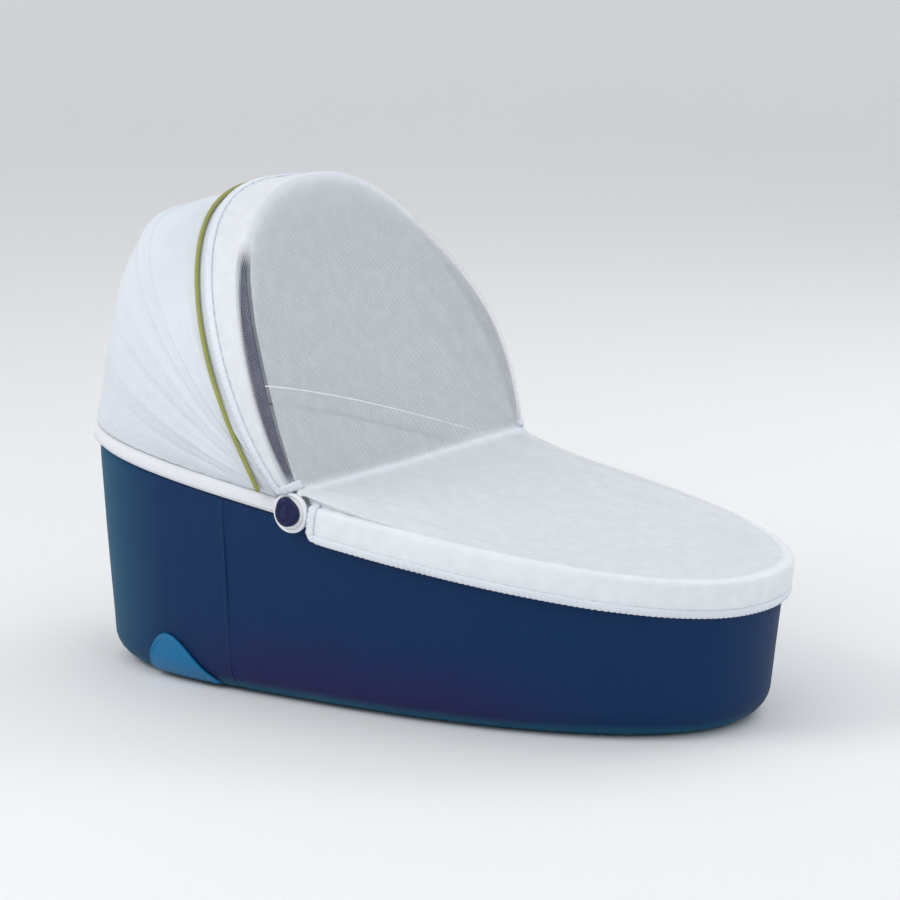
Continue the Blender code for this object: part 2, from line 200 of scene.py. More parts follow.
def hood_point(angle, turn, off=0.0, lift=0.0, floor=None):
    """A point of the hood's arch in a plane through the hinge line, moved off the cloth and off the plane."""
    share = (angle - HOOP_ANGLE) / (BACK_ANGLE - HOOP_ANGLE)
    inner = max(0.0, min(1.0, share))
    squareness = ARCH_SQUARENESS + (HEAD_SQUARENESS - ARCH_SQUARENESS) * inner
    side = HOOD_SIDE + (HOOD_BACK_SIDE - HOOD_SIDE) * inner ** 4 + off
    reach = roof_reach(angle) + off
    along, across = oval(turn, reach, side, squareness)
    level = max(0.0, min(1.0, along / reach) - BULGE_START) / (1 - BULGE_START)
    across *= 1 + HOOD_BULGE * (1 - inner ** 3) * math.sin(math.pi * level ** 0.7)
    along -= bay_sag(share) * math.sin(turn) ** 2
    across *= 1 - bay_sag(share) * math.sin(turn) ** 2 / HOOD_SIDE
    if floor is not None:
        along = max(along, floor)
    x = HINGE_X + along * math.cos(angle) + lift * math.sin(angle)
    z = HINGE_HEIGHT + along * math.sin(angle) - lift * math.cos(angle)
    return Vector((x, across, z))


def arch_turns(clear, reach, squareness, steps, last=None):
    """Turns along an arch from where it is clear of the hinge, at nearly even spacing."""
    start = math.asin((clear / reach) ** (squareness / 2))
    end = math.pi - start if last is None else last
    fine = [start + (end - start) * place / 600 for place in range(601)]
    return spaced_turns(fine, [Vector(oval(turn, reach, HOOD_SIDE, squareness)) for turn in fine], steps)


def arch_level(turn):
    return math.sin(turn) ** (2 / ARCH_SQUARENESS)


def arm_width(level):
    """Width of the crescent arm in front of the hoop, by its share of the hoop's height."""
    if level >= ARM_TOP:
        return 0.0
    return ARM_WIDTH * math.sin(math.pi * level / ARM_TOP) ** 1.5


# Meshes

def run_lengths(points):
    """Distance along a row of points, counted from its middle."""
    runs = [0.0]
    for first, second in zip(points, points[1:]):
        runs.append(runs[-1] + (second - first).length)
    middle = runs[len(runs) // 2]
    return [run - middle for run in runs]


def grid_uvs(rows, closed=False):
    """Cloth coordinates in metres: along each row and down the columns."""
    columns = [[row[place] for row in rows] for place in range(len(rows[0]))]
    downs = [run_lengths(column) for column in columns]
    uvs = []
    for depth, row in enumerate(rows):
        across = run_lengths(list(row) + [row[0]] if closed else row)
        uvs.append([(across[place], downs[place][depth]) for place in range(len(row))])
        if closed:
            uvs[-1].append((across[-1], downs[0][depth]))
    return uvs


def grid_mesh(name, rows, closed=False, uvs=None, floor=False):
    """Quads between rows of points, with cloth coordinates; floor closes the first row to its middle."""
    shape = bmesh.new()
    layer = shape.loops.layers.uv.new("Cloth")
    grid = [[shape.verts.new(point) for point in row] for row in rows]
    uvs = uvs or grid_uvs(rows, closed)
    count = len(rows[0])
    for depth in range(len(rows) - 1):
        for place in range(count if closed else count - 1):
            following = (place + 1) % count
            face = shape.faces.new((grid[depth][place], grid[depth][following],
                                    grid[depth + 1][following], grid[depth + 1][place]))
            corners = ((depth, place), (depth, place + 1), (depth + 1, place + 1), (depth + 1, place))
            for loop, (row, column) in zip(face.loops, corners):
                loop[layer].uv = uvs[row][column]
    if floor:
        shape.faces.new(list(reversed(grid[0])))
    for face in shape.faces:
        face.smooth = True
    mesh = bpy.data.meshes.new(name)
    shape.to_mesh(mesh)
    shape.free()
    return mesh


def loop_mesh(name, sections, closed_along=False):
    """A closed skin through closed sections, with caps unless it runs all the way round."""
    shape = bmesh.new()
    layer = shape.loops.layers.uv.new("Cloth")
    rings = [[shape.verts.new(point) for point in section] for section in sections]
    count = len(sections[0])
    middles = [sum(section, Vector()) / count for section in sections]
    if closed_along:
        middles.append(middles[0])
    along = run_lengths(middles)
    around = run_lengths(list(sections[0]) + [sections[0][0]])
    spans = len(sections) if closed_along else len(sections) - 1
    for step in range(spans):
        first, second = rings[step], rings[(step + 1) % len(rings)]
        for place in range(count):
            following = (place + 1) % count
            face = shape.faces.new((first[place], first[following], second[following], second[place]))
            values = ((step, place), (step, place + 1), (step + 1, place + 1), (step + 1, place))
            for loop, (run, turn) in zip(face.loops, values):
                loop[layer].uv = (along[run], around[turn])
    if not closed_along:
        shape.faces.new(list(reversed(rings[0])))
        shape.faces.new(rings[-1])
    bmesh.ops.recalc_face_normals(shape, faces=shape.faces)
    for face in shape.faces:
        face.smooth = len(face.verts) == 4
    mesh = bpy.data.meshes.new(name)
    shape.to_mesh(mesh)
    shape.free()
    return mesh


def add_piece(name, mesh, material, replaced=()):
    piece = bpy.data.objects.new(name, mesh)
    bpy.context.scene.collection.objects.link(piece)
    piece.data.materials.clear()
    piece.data.materials.append(material)
    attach(piece, "root")
    if replaced:
        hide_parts(*replaced)
    return piece


def thicken(piece, thickness, offset):
    solidify = piece.modifiers.new("Thickness", "SOLIDIFY")
    solidify.thickness = thickness
    solidify.offset = offset


def grid_normals(rows, closed=False):
    """Unit normals of a grid of points, to the outside when rows run down from the left."""
    count = len(rows[0])
    normals = []
    for depth, row in enumerate(rows):
        before, after = rows[max(depth - 1, 0)], rows[min(depth + 1, len(rows) - 1)]
        line = []
        for place in range(count):
            if closed:
                left, right = row[place - 1], row[(place + 1) % count]
            else:
                left, right = row[max(place - 1, 0)], row[min(place + 1, count - 1)]
            normal = (right - left).cross(after[place] - before[place])
            line.append(normal.normalized() if normal.length > 1e-12 else Vector((0, 0, 1)))
        normals.append(line)
    return normals


def spline_between(points, splits):
    """Points on a smooth curve through points, each span split by its own count."""
    made = []
    for place, split in enumerate(splits):
        before = points[max(place - 1, 0)]
        start, end = points[place], points[place + 1]
        after = points[min(place + 2, len(points) - 1)]
        for step in range(split):
            share = step / split
            square, cube = share ** 2, share ** 3
            made.append(0.5 * (2 * start + (end - before) * share
                               + (2 * before - 5 * start + 4 * end - after) * square
                               + (3 * start - before - 3 * end + after) * cube))
    made.append(points[-1].copy())
    return made


# Shader maths

class Value:
    """A shader socket whose Python operators add Math nodes."""

    def __init__(self, recipe, socket):
        self.recipe, self.socket = recipe, socket

    def _with(self, operation, *others, flip=False):
        terms = [self, *others]
        if flip:
            terms.reverse()
        return self.recipe.node("ShaderNodeMath", {"operation": operation}, dict(enumerate(terms)))

    def __add__(self, other):
        return self._with("ADD", other)

    def __radd__(self, other):
        return self._with("ADD", other)

    def __sub__(self, other):
        return self._with("SUBTRACT", other)

    def __rsub__(self, other):
        return self._with("SUBTRACT", other, flip=True)

    def __mul__(self, other):
        return self._with("MULTIPLY", other)

    def __rmul__(self, other):
        return self._with("MULTIPLY", other)

    def __truediv__(self, other):
        return self._with("DIVIDE", other)

    def sine(self):
        return self._with("SINE")

    def size(self):
        return self._with("ABSOLUTE")

    def most(self, other):
        return self._with("MAXIMUM", other)

    def least(self, other):
        return self._with("MINIMUM", other)

    def step(self, low, high):
        """0 below low, 1 above high, and smooth between."""
        settings = {"interpolation_type": "SMOOTHSTEP"}
        return self.recipe.node("ShaderNodeMapRange", settings, {0: self, 1: low, 2: high, 3: 0.0, 4: 1.0})


class Recipe:
    """One procedural material."""

    def __init__(self, name):
        self.material = bpy.data.materials.new(name)
        self.material.use_nodes = True
        self.tree = self.material.node_tree
        self.shader = self.tree.nodes["Principled BSDF"]

    def node(self, kind, settings=None, inputs=None, output=0):
        made = self.tree.nodes.new(kind)
        for key, setting in (settings or {}).items():
            setattr(made, key, setting)
        for key, value in (inputs or {}).items():
            self.put(made.inputs[key], value)
        return Value(self, made.outputs[output])

    def put(self, socket, value):
        if isinstance(value, Value):
            self.tree.links.new(value.socket, socket)
        elif hasattr(value, "__len__"):
            socket.default_value = (*value, 1.0) if len(socket.default_value) == 4 else value
        else:
            socket.default_value = value

    def place(self):
        return self.node("ShaderNodeTexCoord", output="Object")

    def axis(self, vector, which):
        return self.node("ShaderNodeSeparateXYZ", inputs={0: vector}, output=which)

    def cloth(self):
        """The along and across coordinates of the cloth, in metres."""
        place = self.node("ShaderNodeUVMap", {"uv_map": "Cloth"})
        return self.axis(place, 0), self.axis(place, 1)

    def noise(self, scale, detail=3.0, where=None, rough=0.5):
        where = where or self.place()
        return self.node("ShaderNodeTexNoise", None,
                         {"Vector": where, "Scale": scale, "Detail": detail, "Roughness": rough})

    def mix(self, share, first, second):
        made = self.tree.nodes.new("ShaderNodeMix")
        made.data_type = "RGBA"
        self.put(made.inputs[0], share)
        self.put(made.inputs[6], first)
        self.put(made.inputs[7], second)
        return Value(self, made.outputs[2])

    def relief(self, height, strength, distance, under=None):
        inputs = {"Height": height, "Strength": strength, "Distance": distance}
        if under is not None:
            inputs["Normal"] = under
        return self.node("ShaderNodeBump", None, inputs)

    def finish(self, **values):
        for key, value in values.items():
            self.put(self.shader.inputs[key.replace("_", " ")], value)
        return self.material


def weave_height(recipe, pitch):
    """Over-and-under height of a plain weave with one thread each pitch."""
    along, across = recipe.cloth()
    warp = (along * (math.pi / pitch)).sine()
    weft = (across * (math.pi / pitch)).sine()
    return (warp * weft) * 0.5 + 0.5


def woven(name, colour, shade, pitch=0.0011, strength=0.5, sheen=0.15, roughness=0.82, blotch=9.0):
    """Plain woven cloth: thread relief, painted shade in the gaps between threads, and soft uneven tone."""
    recipe = Recipe(name)
    threads = weave_height(recipe, pitch)
    tone = recipe.noise(blotch, 4.0).step(0.3, 0.7)
    fuzz = recipe.noise(900.0, 2.0)
    # Painted shade: the shade colour darkens the gaps between threads; the random tone is the cloth's own.
    tint = recipe.mix(threads * 0.35 + tone * 0.4, shade, colour)
    height = threads * 0.8 + fuzz * 0.35
    return recipe.finish(
        Base_Color=tint,
        Roughness=roughness - threads * 0.08 + tone * 0.05,
        Normal=recipe.relief(height, strength, pitch * 0.5),
        Sheen_Weight=sheen,
        Sheen_Roughness=0.5,
        Specular_IOR_Level=0.3,
    )


OPEN_MESH = 0.36


def net_material(colour, pitch, thread):
    """Sheer diagonal mesh: fine white threads with open holes, a little denser where threads bunch up."""
    recipe = Recipe("net_mesh")
    along, across = recipe.cloth()
    slow = recipe.noise(14.0, 3.0)
    density = recipe.node("ShaderNodeAttribute", {"attribute_name": "Density"}, output=2)
    first = ((along + across) * (math.pi / pitch) + slow * 2.2).sine().size()
    second = ((along - across) * (math.pi / pitch) - slow * 1.6).sine().size()
    lead = 1 - first.step(thread * 0.75, thread * 1.25)
    cross = 1 - second.step(thread * 0.55, thread * 1.0)
    threads = lead.most(cross)
    filled = ((density - OPEN_MESH) / (1 - OPEN_MESH)).most(0.0)
    bunch = recipe.noise(60.0, 2.0).step(0.35, 0.75)
    tint = recipe.mix(lead * 0.7 + bunch * 0.3, [part * 0.93 for part in colour], colour)
    return recipe.finish(
        Base_Color=tint,
        Roughness=0.62 - lead * 0.12,
        Alpha=(threads * (1 - filled) * (density / OPEN_MESH).least(1.0) + filled + bunch * 0.04).least(1.0),
        Normal=recipe.relief(threads, 0.5, 0.0003),
        Sheen_Weight=0.2,
        Sheen_Roughness=0.4,
        Specular_IOR_Level=0.35,
    )


def tub_material(navy, reflection_teal, shade_plum):
    """Stretched navy cloth with painted light: a bluish-green painted reflection at the head end and along the bottom
    edge, and painted shade that darkens it low in the middle.
    """
    recipe = Recipe("navy_cloth")
    place = recipe.place()
    x, z = recipe.axis(place, 0), recipe.axis(place, 2)
    threads = weave_height(recipe, 0.0012)
    cloudy = recipe.noise(7.0, 4.0)
    # Painted reflection: bluish-green towards the head end.
    head = 1 - (x + cloudy * 0.05).step(-0.385, -0.19)
    # Painted reflection: bluish-green along the rounded bottom edge.
    edge = 1 - (z + cloudy * 0.006).step(0.008, 0.022)
    # Painted shade: darker purple low in the middle of the sides.
    low = (1 - (z + cloudy * 0.02).step(0.03, 0.12)) * (1 - (x - 0.02).size().step(0.10, 0.30))
    tint = recipe.mix(low * 0.75, navy, shade_plum)
    tint = recipe.mix(head * 0.70, tint, reflection_teal)
    tint = recipe.mix(edge * 0.85, tint, reflection_teal)
    # Painted highlight on the thread tops, and soft lighter clouds of dust.
    thread_highlight_and_dust = recipe.mix(threads * 0.22 + cloudy * 0.14, tint, [min(1.0, part * 1.5 + 0.004) for part in navy])
    return recipe.finish(
        Base_Color=thread_highlight_and_dust,
        Roughness=0.60 - threads * 0.10 + cloudy * 0.10,
        Normal=recipe.relief(threads * 0.8 + recipe.noise(700.0, 2.0) * 0.3, 0.35, 0.0005),
        Sheen_Weight=0.02,
        Sheen_Roughness=0.45,
        Specular_IOR_Level=0.16,
    )


def plastic(name, colour, roughness=0.38, grain=420.0, wear=0.06):
    """Moulded plastic with a fine spark-eroded grain and a slightly uneven gloss."""
    recipe = Recipe(name)
    fine = recipe.noise(grain * 6, 2.0)
    broad = recipe.noise(35.0, 3.0)
    tint = recipe.mix(broad.step(0.35, 0.75) * wear, colour, [min(1.0, part * 1.3 + 0.03) for part in colour])
    return recipe.finish(
        Base_Color=tint,
        Roughness=roughness + broad * 0.10 + fine * 0.06,
        Normal=recipe.relief(fine, 0.12, 0.0002),
        Specular_IOR_Level=0.28,
    )


def thread_material(name, colour):
    """Twisted sewing thread."""
    recipe = Recipe(name)
    twist = recipe.noise(2600.0, 1.0)
    tint = recipe.mix(twist, [part * 0.8 for part in colour], colour)
    return recipe.finish(Base_Color=tint, Roughness=0.6, Normal=recipe.relief(twist, 0.4, 0.0002))


def piping_material(colour):
    """Bias-cut cloth over a cord: slanting threads round the piping, with painted shade between them."""
    recipe = Recipe("lime_piping")
    along, across = recipe.cloth()
    slant = ((along + across * 0.9) * (math.tau / 0.0016)).sine() * 0.5 + 0.5
    soft_tone = recipe.noise(40.0, 3.0)
    # Painted shade between the slanting threads, with lighter thread tops; the soft tone is the cloth's own.
    tint = recipe.mix(slant * 0.3 + soft_tone * 0.4, [part * 0.62 for part in colour],
                      [min(1.0, part * 1.12) for part in colour])
    return recipe.finish(Base_Color=tint, Roughness=0.7 - slant * 0.1, Sheen_Weight=0.1,
                         Normal=recipe.relief(slant, 0.5, 0.0004))


def floor_material(colour):
    recipe = Recipe("studio_floor")
    tone = recipe.noise(2.0, 3.0)
    tint = recipe.mix(tone, colour, [part * 0.985 for part in colour])
    return recipe.finish(Base_Color=tint, Roughness=0.65 + tone * 0.1, Specular_IOR_Level=0.25)


# Stitches

def stitch_tree(name):
    """Geometry Nodes that lay short rounded stitches along a line."""
    tree = bpy.data.node_groups.new(name, "GeometryNodeTree")
    tree.is_modifier = True
    face = tree.interface
    face.new_socket("Line", in_out="INPUT", socket_type="NodeSocketGeometry")
    for label, default in (("Pitch", 0.004), ("Stitch length", 0.0026), ("Thread radius", 0.0004)):
        socket = face.new_socket(label, in_out="INPUT", socket_type="NodeSocketFloat")
        socket.default_value = default
    face.new_socket("Thread", in_out="INPUT", socket_type="NodeSocketMaterial")
    face.new_socket("Stitches", in_out="OUTPUT", socket_type="NodeSocketGeometry")
    nodes, links = tree.nodes, tree.links
    entry, result = nodes.new("NodeGroupInput"), nodes.new("NodeGroupOutput")
    to_curve = nodes.new("GeometryNodeMeshToCurve")
    resample = nodes.new("GeometryNodeResampleCurve")
    resample.mode = "LENGTH"
    stitch = nodes.new("GeometryNodeMeshCylinder")
    stitch.inputs["Vertices"].default_value = 6
    tangent = nodes.new("GeometryNodeInputTangent")
    align = nodes.new("FunctionNodeAlignRotationToVector")
    align.axis = "Z"
    scatter = nodes.new("GeometryNodeInstanceOnPoints")
    realize = nodes.new("GeometryNodeRealizeInstances")
    paint = nodes.new("GeometryNodeSetMaterial")
    for source, leaving, target, entering in (
        (entry, "Line", to_curve, "Mesh"),
        (to_curve, "Curve", resample, "Curve"),
        (entry, "Pitch", resample, "Length"),
        (resample, "Curve", scatter, "Points"),
        (entry, "Thread radius", stitch, "Radius"),
        (entry, "Stitch length", stitch, "Depth"),
        (stitch, "Mesh", scatter, "Instance"),
        (tangent, "Tangent", align, "Vector"),
        (align, "Rotation", scatter, "Rotation"),
        (scatter, "Instances", realize, "Geometry"),
        (realize, "Geometry", paint, "Geometry"),
        (entry, "Thread", paint, "Material"),
        (paint, "Geometry", result, "Stitches"),
    ):
        links.new(source.outputs[leaving], target.inputs[entering])
    return tree


def line_mesh(name, lines):
    """Lines of points as loose edges; a line that ends where it starts is closed by its caller."""
    shape = bmesh.new()
    for line in lines:
        points = [shape.verts.new(point) for point in line]
        for first, second in zip(points, points[1:]):
            shape.edges.new((first, second))
    mesh = bpy.data.meshes.new(name)
    shape.to_mesh(mesh)
    shape.free()
    return mesh


def add_stitches(name, lines, pitch, length, radius, thread):
    tree = stitch_tree(name + "_nodes")
    holder = bpy.data.objects.new(name + "_lines", line_mesh(name + "_lines", lines))
    bpy.context.scene.collection.objects.link(holder)
    modifier = holder.modifiers.new("Stitches", "NODES")
    modifier.node_group = tree
    sizes = {"Pitch": pitch, "Stitch length": length, "Thread radius": radius, "Thread": thread}
    for item in tree.interface.items_tree:
        if item.in_out == "INPUT" and item.name in sizes:
            modifier[item.identifier] = sizes[item.name]
    scene_state = bpy.context.evaluated_depsgraph_get()
    mesh = bpy.data.meshes.new_from_object(holder.evaluated_get(scene_state))
    mesh.name = name
    bpy.data.objects.remove(holder, do_unlink=True)
    mesh.shade_smooth()
    return add_piece(name, mesh, thread)


# Net

def hem_ripple(run, seed):
    """Uneven gathers along an elastic hem, from 0 to 1."""
    waver = 2.4 * soft(run / 0.045, seed)
    size = 0.55 + 0.45 * soft(run / 0.06, seed + 7.0)
    return size * (0.5 + 0.5 * math.sin(math.tau * run / 0.0135 + waver))


def hood_fold(turn):
    """The net's section over the hood's edge, from its hem forward and round the hoop and the arms."""
    arm = arm_width(arch_level(turn))
    folds = [
        # angle, lift, off
        (NET_HEM_ANGLE, -0.001, 0.0030),
        (NET_HEM_ANGLE - math.radians(1.6), 0.0, NET_OFF),
        (NET_HEM_ANGLE - math.radians(3.4), 0.001, NET_OFF),
        (HOOP_ANGLE, 0.003, NET_OFF),
        (HOOP_ANGLE, HOOP_HALF - 0.002 + arm * 0.4, NET_OFF),
        (HOOP_ANGLE, NET_FRONT - 0.0046 + arm, NET_OFF - 0.0004),
        (HOOP_ANGLE, NET_FRONT - 0.0008 + arm, 0.0006),
        (HOOP_ANGLE, NET_FRONT + arm, -0.004),
    ]
    return [hood_point(angle, turn, off=off, lift=lift) for angle, lift, off in folds]


def rim_fold(turn):
    """The net's section over the tub's rim, out and down to its hem."""
    folds = [
        # outset, lift
        (-0.0060, 0.01235),
        (0.0008, 0.01155),
        (0.00345, 0.00855),
        (0.00385, 0.0030),
        (0.00385, -0.0070),
        (0.00325, -0.0140),
        (0.00125, -0.0210),
    ]
    return [rim_point(*outline(turn, -outset), lift) for outset, lift in folds]


def crease_point(edge, share):
    wave = 0.0022 * math.sin(math.pi * share) * (1 + 0.7 * math.sin(9 * share + 0.6))
    return Vector((HINGE_X + CREASE_FORWARD, edge.y * CREASE_NARROWING, HINGE_HEIGHT + CREASE_UP + wave))


PULLS = [
    # on the tub side (1) or the hood side (-1), start across, start along, end across, end along, height, width
    (1, -0.200, 0.012, -0.090, 0.210, 0.0026, 0.010),
    (1, 0.200, 0.010, 0.070, 0.250, 0.0028, 0.012),
    (1, -0.195, 0.030, -0.165, 0.300, 0.0022, 0.010),
    (1, -0.060, 0.020, 0.040, 0.330, 0.0018, 0.016),
    (1, 0.190, 0.050, 0.150, 0.330, 0.0020, 0.011),
    (-1, -0.200, 0.012, -0.100, 0.170, 0.0026, 0.009),
    (-1, 0.200, 0.014, 0.110, 0.200, 0.0028, 0.010),
    (-1, -0.150, 0.010, -0.050, 0.110, 0.0020, 0.010),
    (-1, 0.060, 0.012, 0.120, 0.120, 0.0010, 0.012),
    (-1, -0.020, 0.200, 0.050, 0.300, 0.0009, 0.014),
]


def pull_height(part, across, along):
    """Height of the long soft tension folds at a place on the tub's or the hood's side of the crease."""
    total = 0.0
    for side, start_across, start_along, end_across, end_along, height, width in PULLS:
        if side != part:
            continue
        start, end = Vector((start_across, start_along)), Vector((end_across, end_along))
        line = end - start
        spot = Vector((across, along)) - start
        share = spot.dot(line) / line.length_squared
        if -0.2 < share < 1.2:
            bend = 0.006 * math.sin(3.2 * share + across * 9)
            away = spot.cross(line) / line.length + bend
            fade = smooth(share, -0.2, 0.15) * (1 - smooth(share, 0.6, 1.2))
            total += height * fade * (bump(away, 0.0, width) - 0.6 * bump(away, width * 1.7, width))
    return total


SKIN_DENSITY = 0.62
APRON_DENSITY = 0.83
ARM_DENSITY = 0.13
HEM_DENSITY = 0.90
RIM_DENSITY = 0.97
CREASE_DENSITY = 0.98
NET_COLUMNS = 176
FOLD_SPLIT = 4
HOOD_FOLD_SPANS = 7
RIM_FOLD_SPANS = 6
HOOD_FOLD_ROWS = HOOD_FOLD_SPANS * FOLD_SPLIT
RIM_FOLD_ROWS = RIM_FOLD_SPANS * FOLD_SPLIT
SKIN_STEPS = 46
APRON_STEPS = 62


def net_rows():
    """The net's grid of points and, for each row, whether it lies over the hood, the opening, the tub or the rim."""
    turns = arch_turns(HINGE_CLEAR, roof_reach(HOOP_ANGLE), ARCH_SQUARENESS, NET_COLUMNS)
    columns = []
    for place, turn in enumerate(turns):
        over_hood = spline_between(hood_fold(turn), [FOLD_SPLIT] * HOOD_FOLD_SPANS)
        over_rim = spline_between(rim_fold(turn), [FOLD_SPLIT] * RIM_FOLD_SPANS)
        edge, rim_edge = over_hood[-1], over_rim[0]
        crease = crease_point(edge, place / NET_COLUMNS)
        inward = Vector((-math.sin(HOOP_ANGLE), 0.0, math.cos(HOOP_ANGLE)))
        across = math.sin(math.pi * place / NET_COLUMNS)
        column = list(over_hood)
        for step in range(1, SKIN_STEPS):
            share = step / SKIN_STEPS
            sag = SKIN_SAG * math.sin(math.pi * share) * across
            column.append(edge.lerp(crease, share) + inward * sag)
        column.append(crease)
        for step in range(1, APRON_STEPS):
            share = step / APRON_STEPS
            sag = APRON_SAG * math.sin(math.pi * share) * across
            column.append(crease.lerp(rim_edge, share) - Vector((0.0, 0.0, sag)))
        column += over_rim
        columns.append(column)
    rows = [[column[depth] for column in columns] for depth in range(len(columns[0]))]
    return rows, HOOD_FOLD_ROWS, HOOD_FOLD_ROWS + SKIN_STEPS


def net_uvs(rows, crease_row):
    """Flat cloth coordinates: plane on the tub and the opening, and unfolded past their edges."""
    hood_edge, rim_edge = HOOD_FOLD_ROWS, len(rows) - 1 - RIM_FOLD_ROWS
    uvs = [[None] * len(rows[0]) for _ in rows]
    for place in range(len(rows[0])):
        crease = rows[crease_row][place]
        for depth in range(hood_edge, rim_edge + 1):
            point = rows[depth][place]
            run = math.hypot(point.x - crease.x, point.z - crease.z)
            uvs[depth][place] = Vector((point.y, run if depth > crease_row else -run))
    for edge_row, depths in ((hood_edge, range(hood_edge - 1, -1, -1)), (rim_edge, range(rim_edge + 1, len(rows)))):
        edge = uvs[edge_row]
        for place in range(len(edge)):
            before, after = edge[max(place - 1, 0)], edge[min(place + 1, len(edge) - 1)]
            tangent = (after - before).normalized()
            outward = Vector((tangent.y, -tangent.x))
            if outward.dot(edge[place]) < 0:
                outward = -outward
            run, last = 0.0, rows[edge_row][place]
            for depth in depths:
                run += (rows[depth][place] - last).length
                last = rows[depth][place]
                uvs[depth][place] = edge[place] + outward * run
    return uvs


def shape_net(rows, hood_edge, crease_row):
    """Gathers at the hems, the pinched crease and long tension folds, laid over the taut net."""
    normals = grid_normals(rows)
    hood_runs, rim_runs = run_lengths(rows[0]), run_lengths(rows[-1])
    last = len(rows) - 1
    rim_edge = last - RIM_FOLD_ROWS
    shaped = []
    for depth, row in enumerate(rows):
        line = []
        for place, point in enumerate(row):
            out = -normals[depth][place]
            crease = rows[crease_row][place]
            run = math.hypot(point.x - crease.x, point.z - crease.z)
            share = place / (len(row) - 1)
            calm = smooth(share, 0.0, 0.03) * (1 - smooth(share, 0.97, 1.0))
            from_hem = (point - rows[0][place]).length if depth <= hood_edge + 6 else 1.0
            from_skirt = (point - rows[last][place]).length if depth >= rim_edge - 8 else 1.0
            lift = 0.0026 * math.exp(-from_hem / 0.022) * hem_ripple(hood_runs[place], 1.0)
            lift += 0.0034 * math.exp(-from_skirt / 0.017) * hem_ripple(rim_runs[place], 2.0)
            if hood_edge < depth < rim_edge:
                part = 1 if depth > crease_row else -1
                room = smooth(run, 0.004, 0.03)
                lift += pull_height(part, point.y, run) * room * calm
                lift += 0.0011 * soft(point.x * 22, point.y * 22, point.z * 22) * room * calm
                pinch = bump(run, 0.0, 0.0042)
                uneven = 0.75 + 0.5 * soft(point.y * 18, 3.0)
                lift += 0.0042 * pinch * uneven * calm
            line.append(point + out * lift)
        shaped.append(line)
    return shaped


def net_density(rows, crease_row):
    """How much of the cloth its threads cover: stretched open over the arms, drawn close at hems and crease."""
    hood_edge, rim_edge = HOOD_FOLD_ROWS, len(rows) - 1 - RIM_FOLD_ROWS
    turns = arch_turns(HINGE_CLEAR, roof_reach(HOOP_ANGLE), ARCH_SQUARENESS, NET_COLUMNS)
    values = []
    for depth, row in enumerate(rows):
        for place, point in enumerate(row):
            crease = rows[crease_row][place]
            run = math.hypot(point.x - crease.x, point.z - crease.z)
            if depth <= hood_edge:
                over_arm = smooth(arm_width(arch_level(turns[place])), 0.0002, 0.0035) * smooth(depth, 14.5, 18.0)
                value = HEM_DENSITY + (ARM_DENSITY - HEM_DENSITY) * over_arm
            elif depth < crease_row:
                from_edge = depth - hood_edge
                value = SKIN_DENSITY + (HEM_DENSITY - SKIN_DENSITY) * math.exp(-from_edge / 1.5)
            elif depth < rim_edge:
                value = APRON_DENSITY
            else:
                value = RIM_DENSITY
            if hood_edge < depth < rim_edge:
                value += (CREASE_DENSITY - value) * bump(run, 0.0, 0.0045)
            values.append(value)
    return values


def hem_loop(rows):
    """The whole hem: the hood's edge, the right hinge, the foot's edge and back by the left hinge."""
    normals = grid_normals(rows)
    last_row, last_column = len(rows) - 1, len(rows[0]) - 1
    places = [(0, column) for column in range(last_column)]
    places += [(row, last_column) for row in range(last_row)]
    places += [(last_row, column) for column in range(last_column, 0, -1)]
    places += [(row, 0) for row in range(last_row, 0, -1)]
    points = [rows[row][column].copy() for row, column in places]
    outs = [-normals[row][column] for row, column in places]
    for _ in range(6):
        points = [(points[i - 1] + points[i] * 2 + points[(i + 1) % len(points)]) / 4 for i in range(len(points))]
        outs = [(outs[i - 1] + outs[i] * 2 + outs[(i + 1) % len(outs)]).normalized() for i in range(len(outs))]
    return points, outs


def even_loop(points, outs, spacing):
    """The closed loop again with points at even spacing."""
    runs = [0.0]
    for place in range(len(points)):
        runs.append(runs[-1] + (points[(place + 1) % len(points)] - points[place]).length)
    count = int(runs[-1] / spacing)
    made_points, made_outs, place = [], [], 0
    for step in range(count):
        wanted = runs[-1] * step / count
        while runs[place + 1] < wanted:
            place += 1
        share = (wanted - runs[place]) / (runs[place + 1] - runs[place])
        following = (place + 1) % len(points)
        made_points.append(points[place].lerp(points[following], share))
        made_outs.append(outs[place].lerp(outs[following], share).normalized())
    return made_points, made_outs


HEM_HALF_WIDTH = 0.0048
HEM_HALF_THICKNESS = 0.0015
HEM_SPACING = 0.0022


def hem_sections(points, outs):
    """Flat gathered casing round the elastic: a puckered oval at each point of the hem."""
    sections, seam = [], []
    count = len(points)
    for place in range(count):
        tangent = (points[(place + 1) % count] - points[place - 1]).normalized()
        out = outs[place]
        beyond = tangent.cross(out).normalized()
        run = place * HEM_SPACING
        pucker = math.sin(math.tau * run / 0.0062 + 2.0 * soft(run / 0.03, 5.0))
        size = 0.6 + 0.4 * soft(run / 0.05, 9.0)
        middle = points[place] + out * (0.0011 + 0.0006 * pucker * size)
        width = HEM_HALF_WIDTH * (1 + 0.10 * pucker * size)
        thick = HEM_HALF_THICKNESS * (1 + 0.28 * pucker * size)
        section = []
        for corner in range(12):
            angle = math.tau * corner / 12
            flat = power(math.cos(angle), 0.75) * width
            high = power(math.sin(angle), 0.85) * thick
            section.append(middle + beyond * flat + out * high)
        sections.append(section)
        seam.append(middle - beyond * (width * 0.55) + out * (thick * 0.92))
    return sections, seam


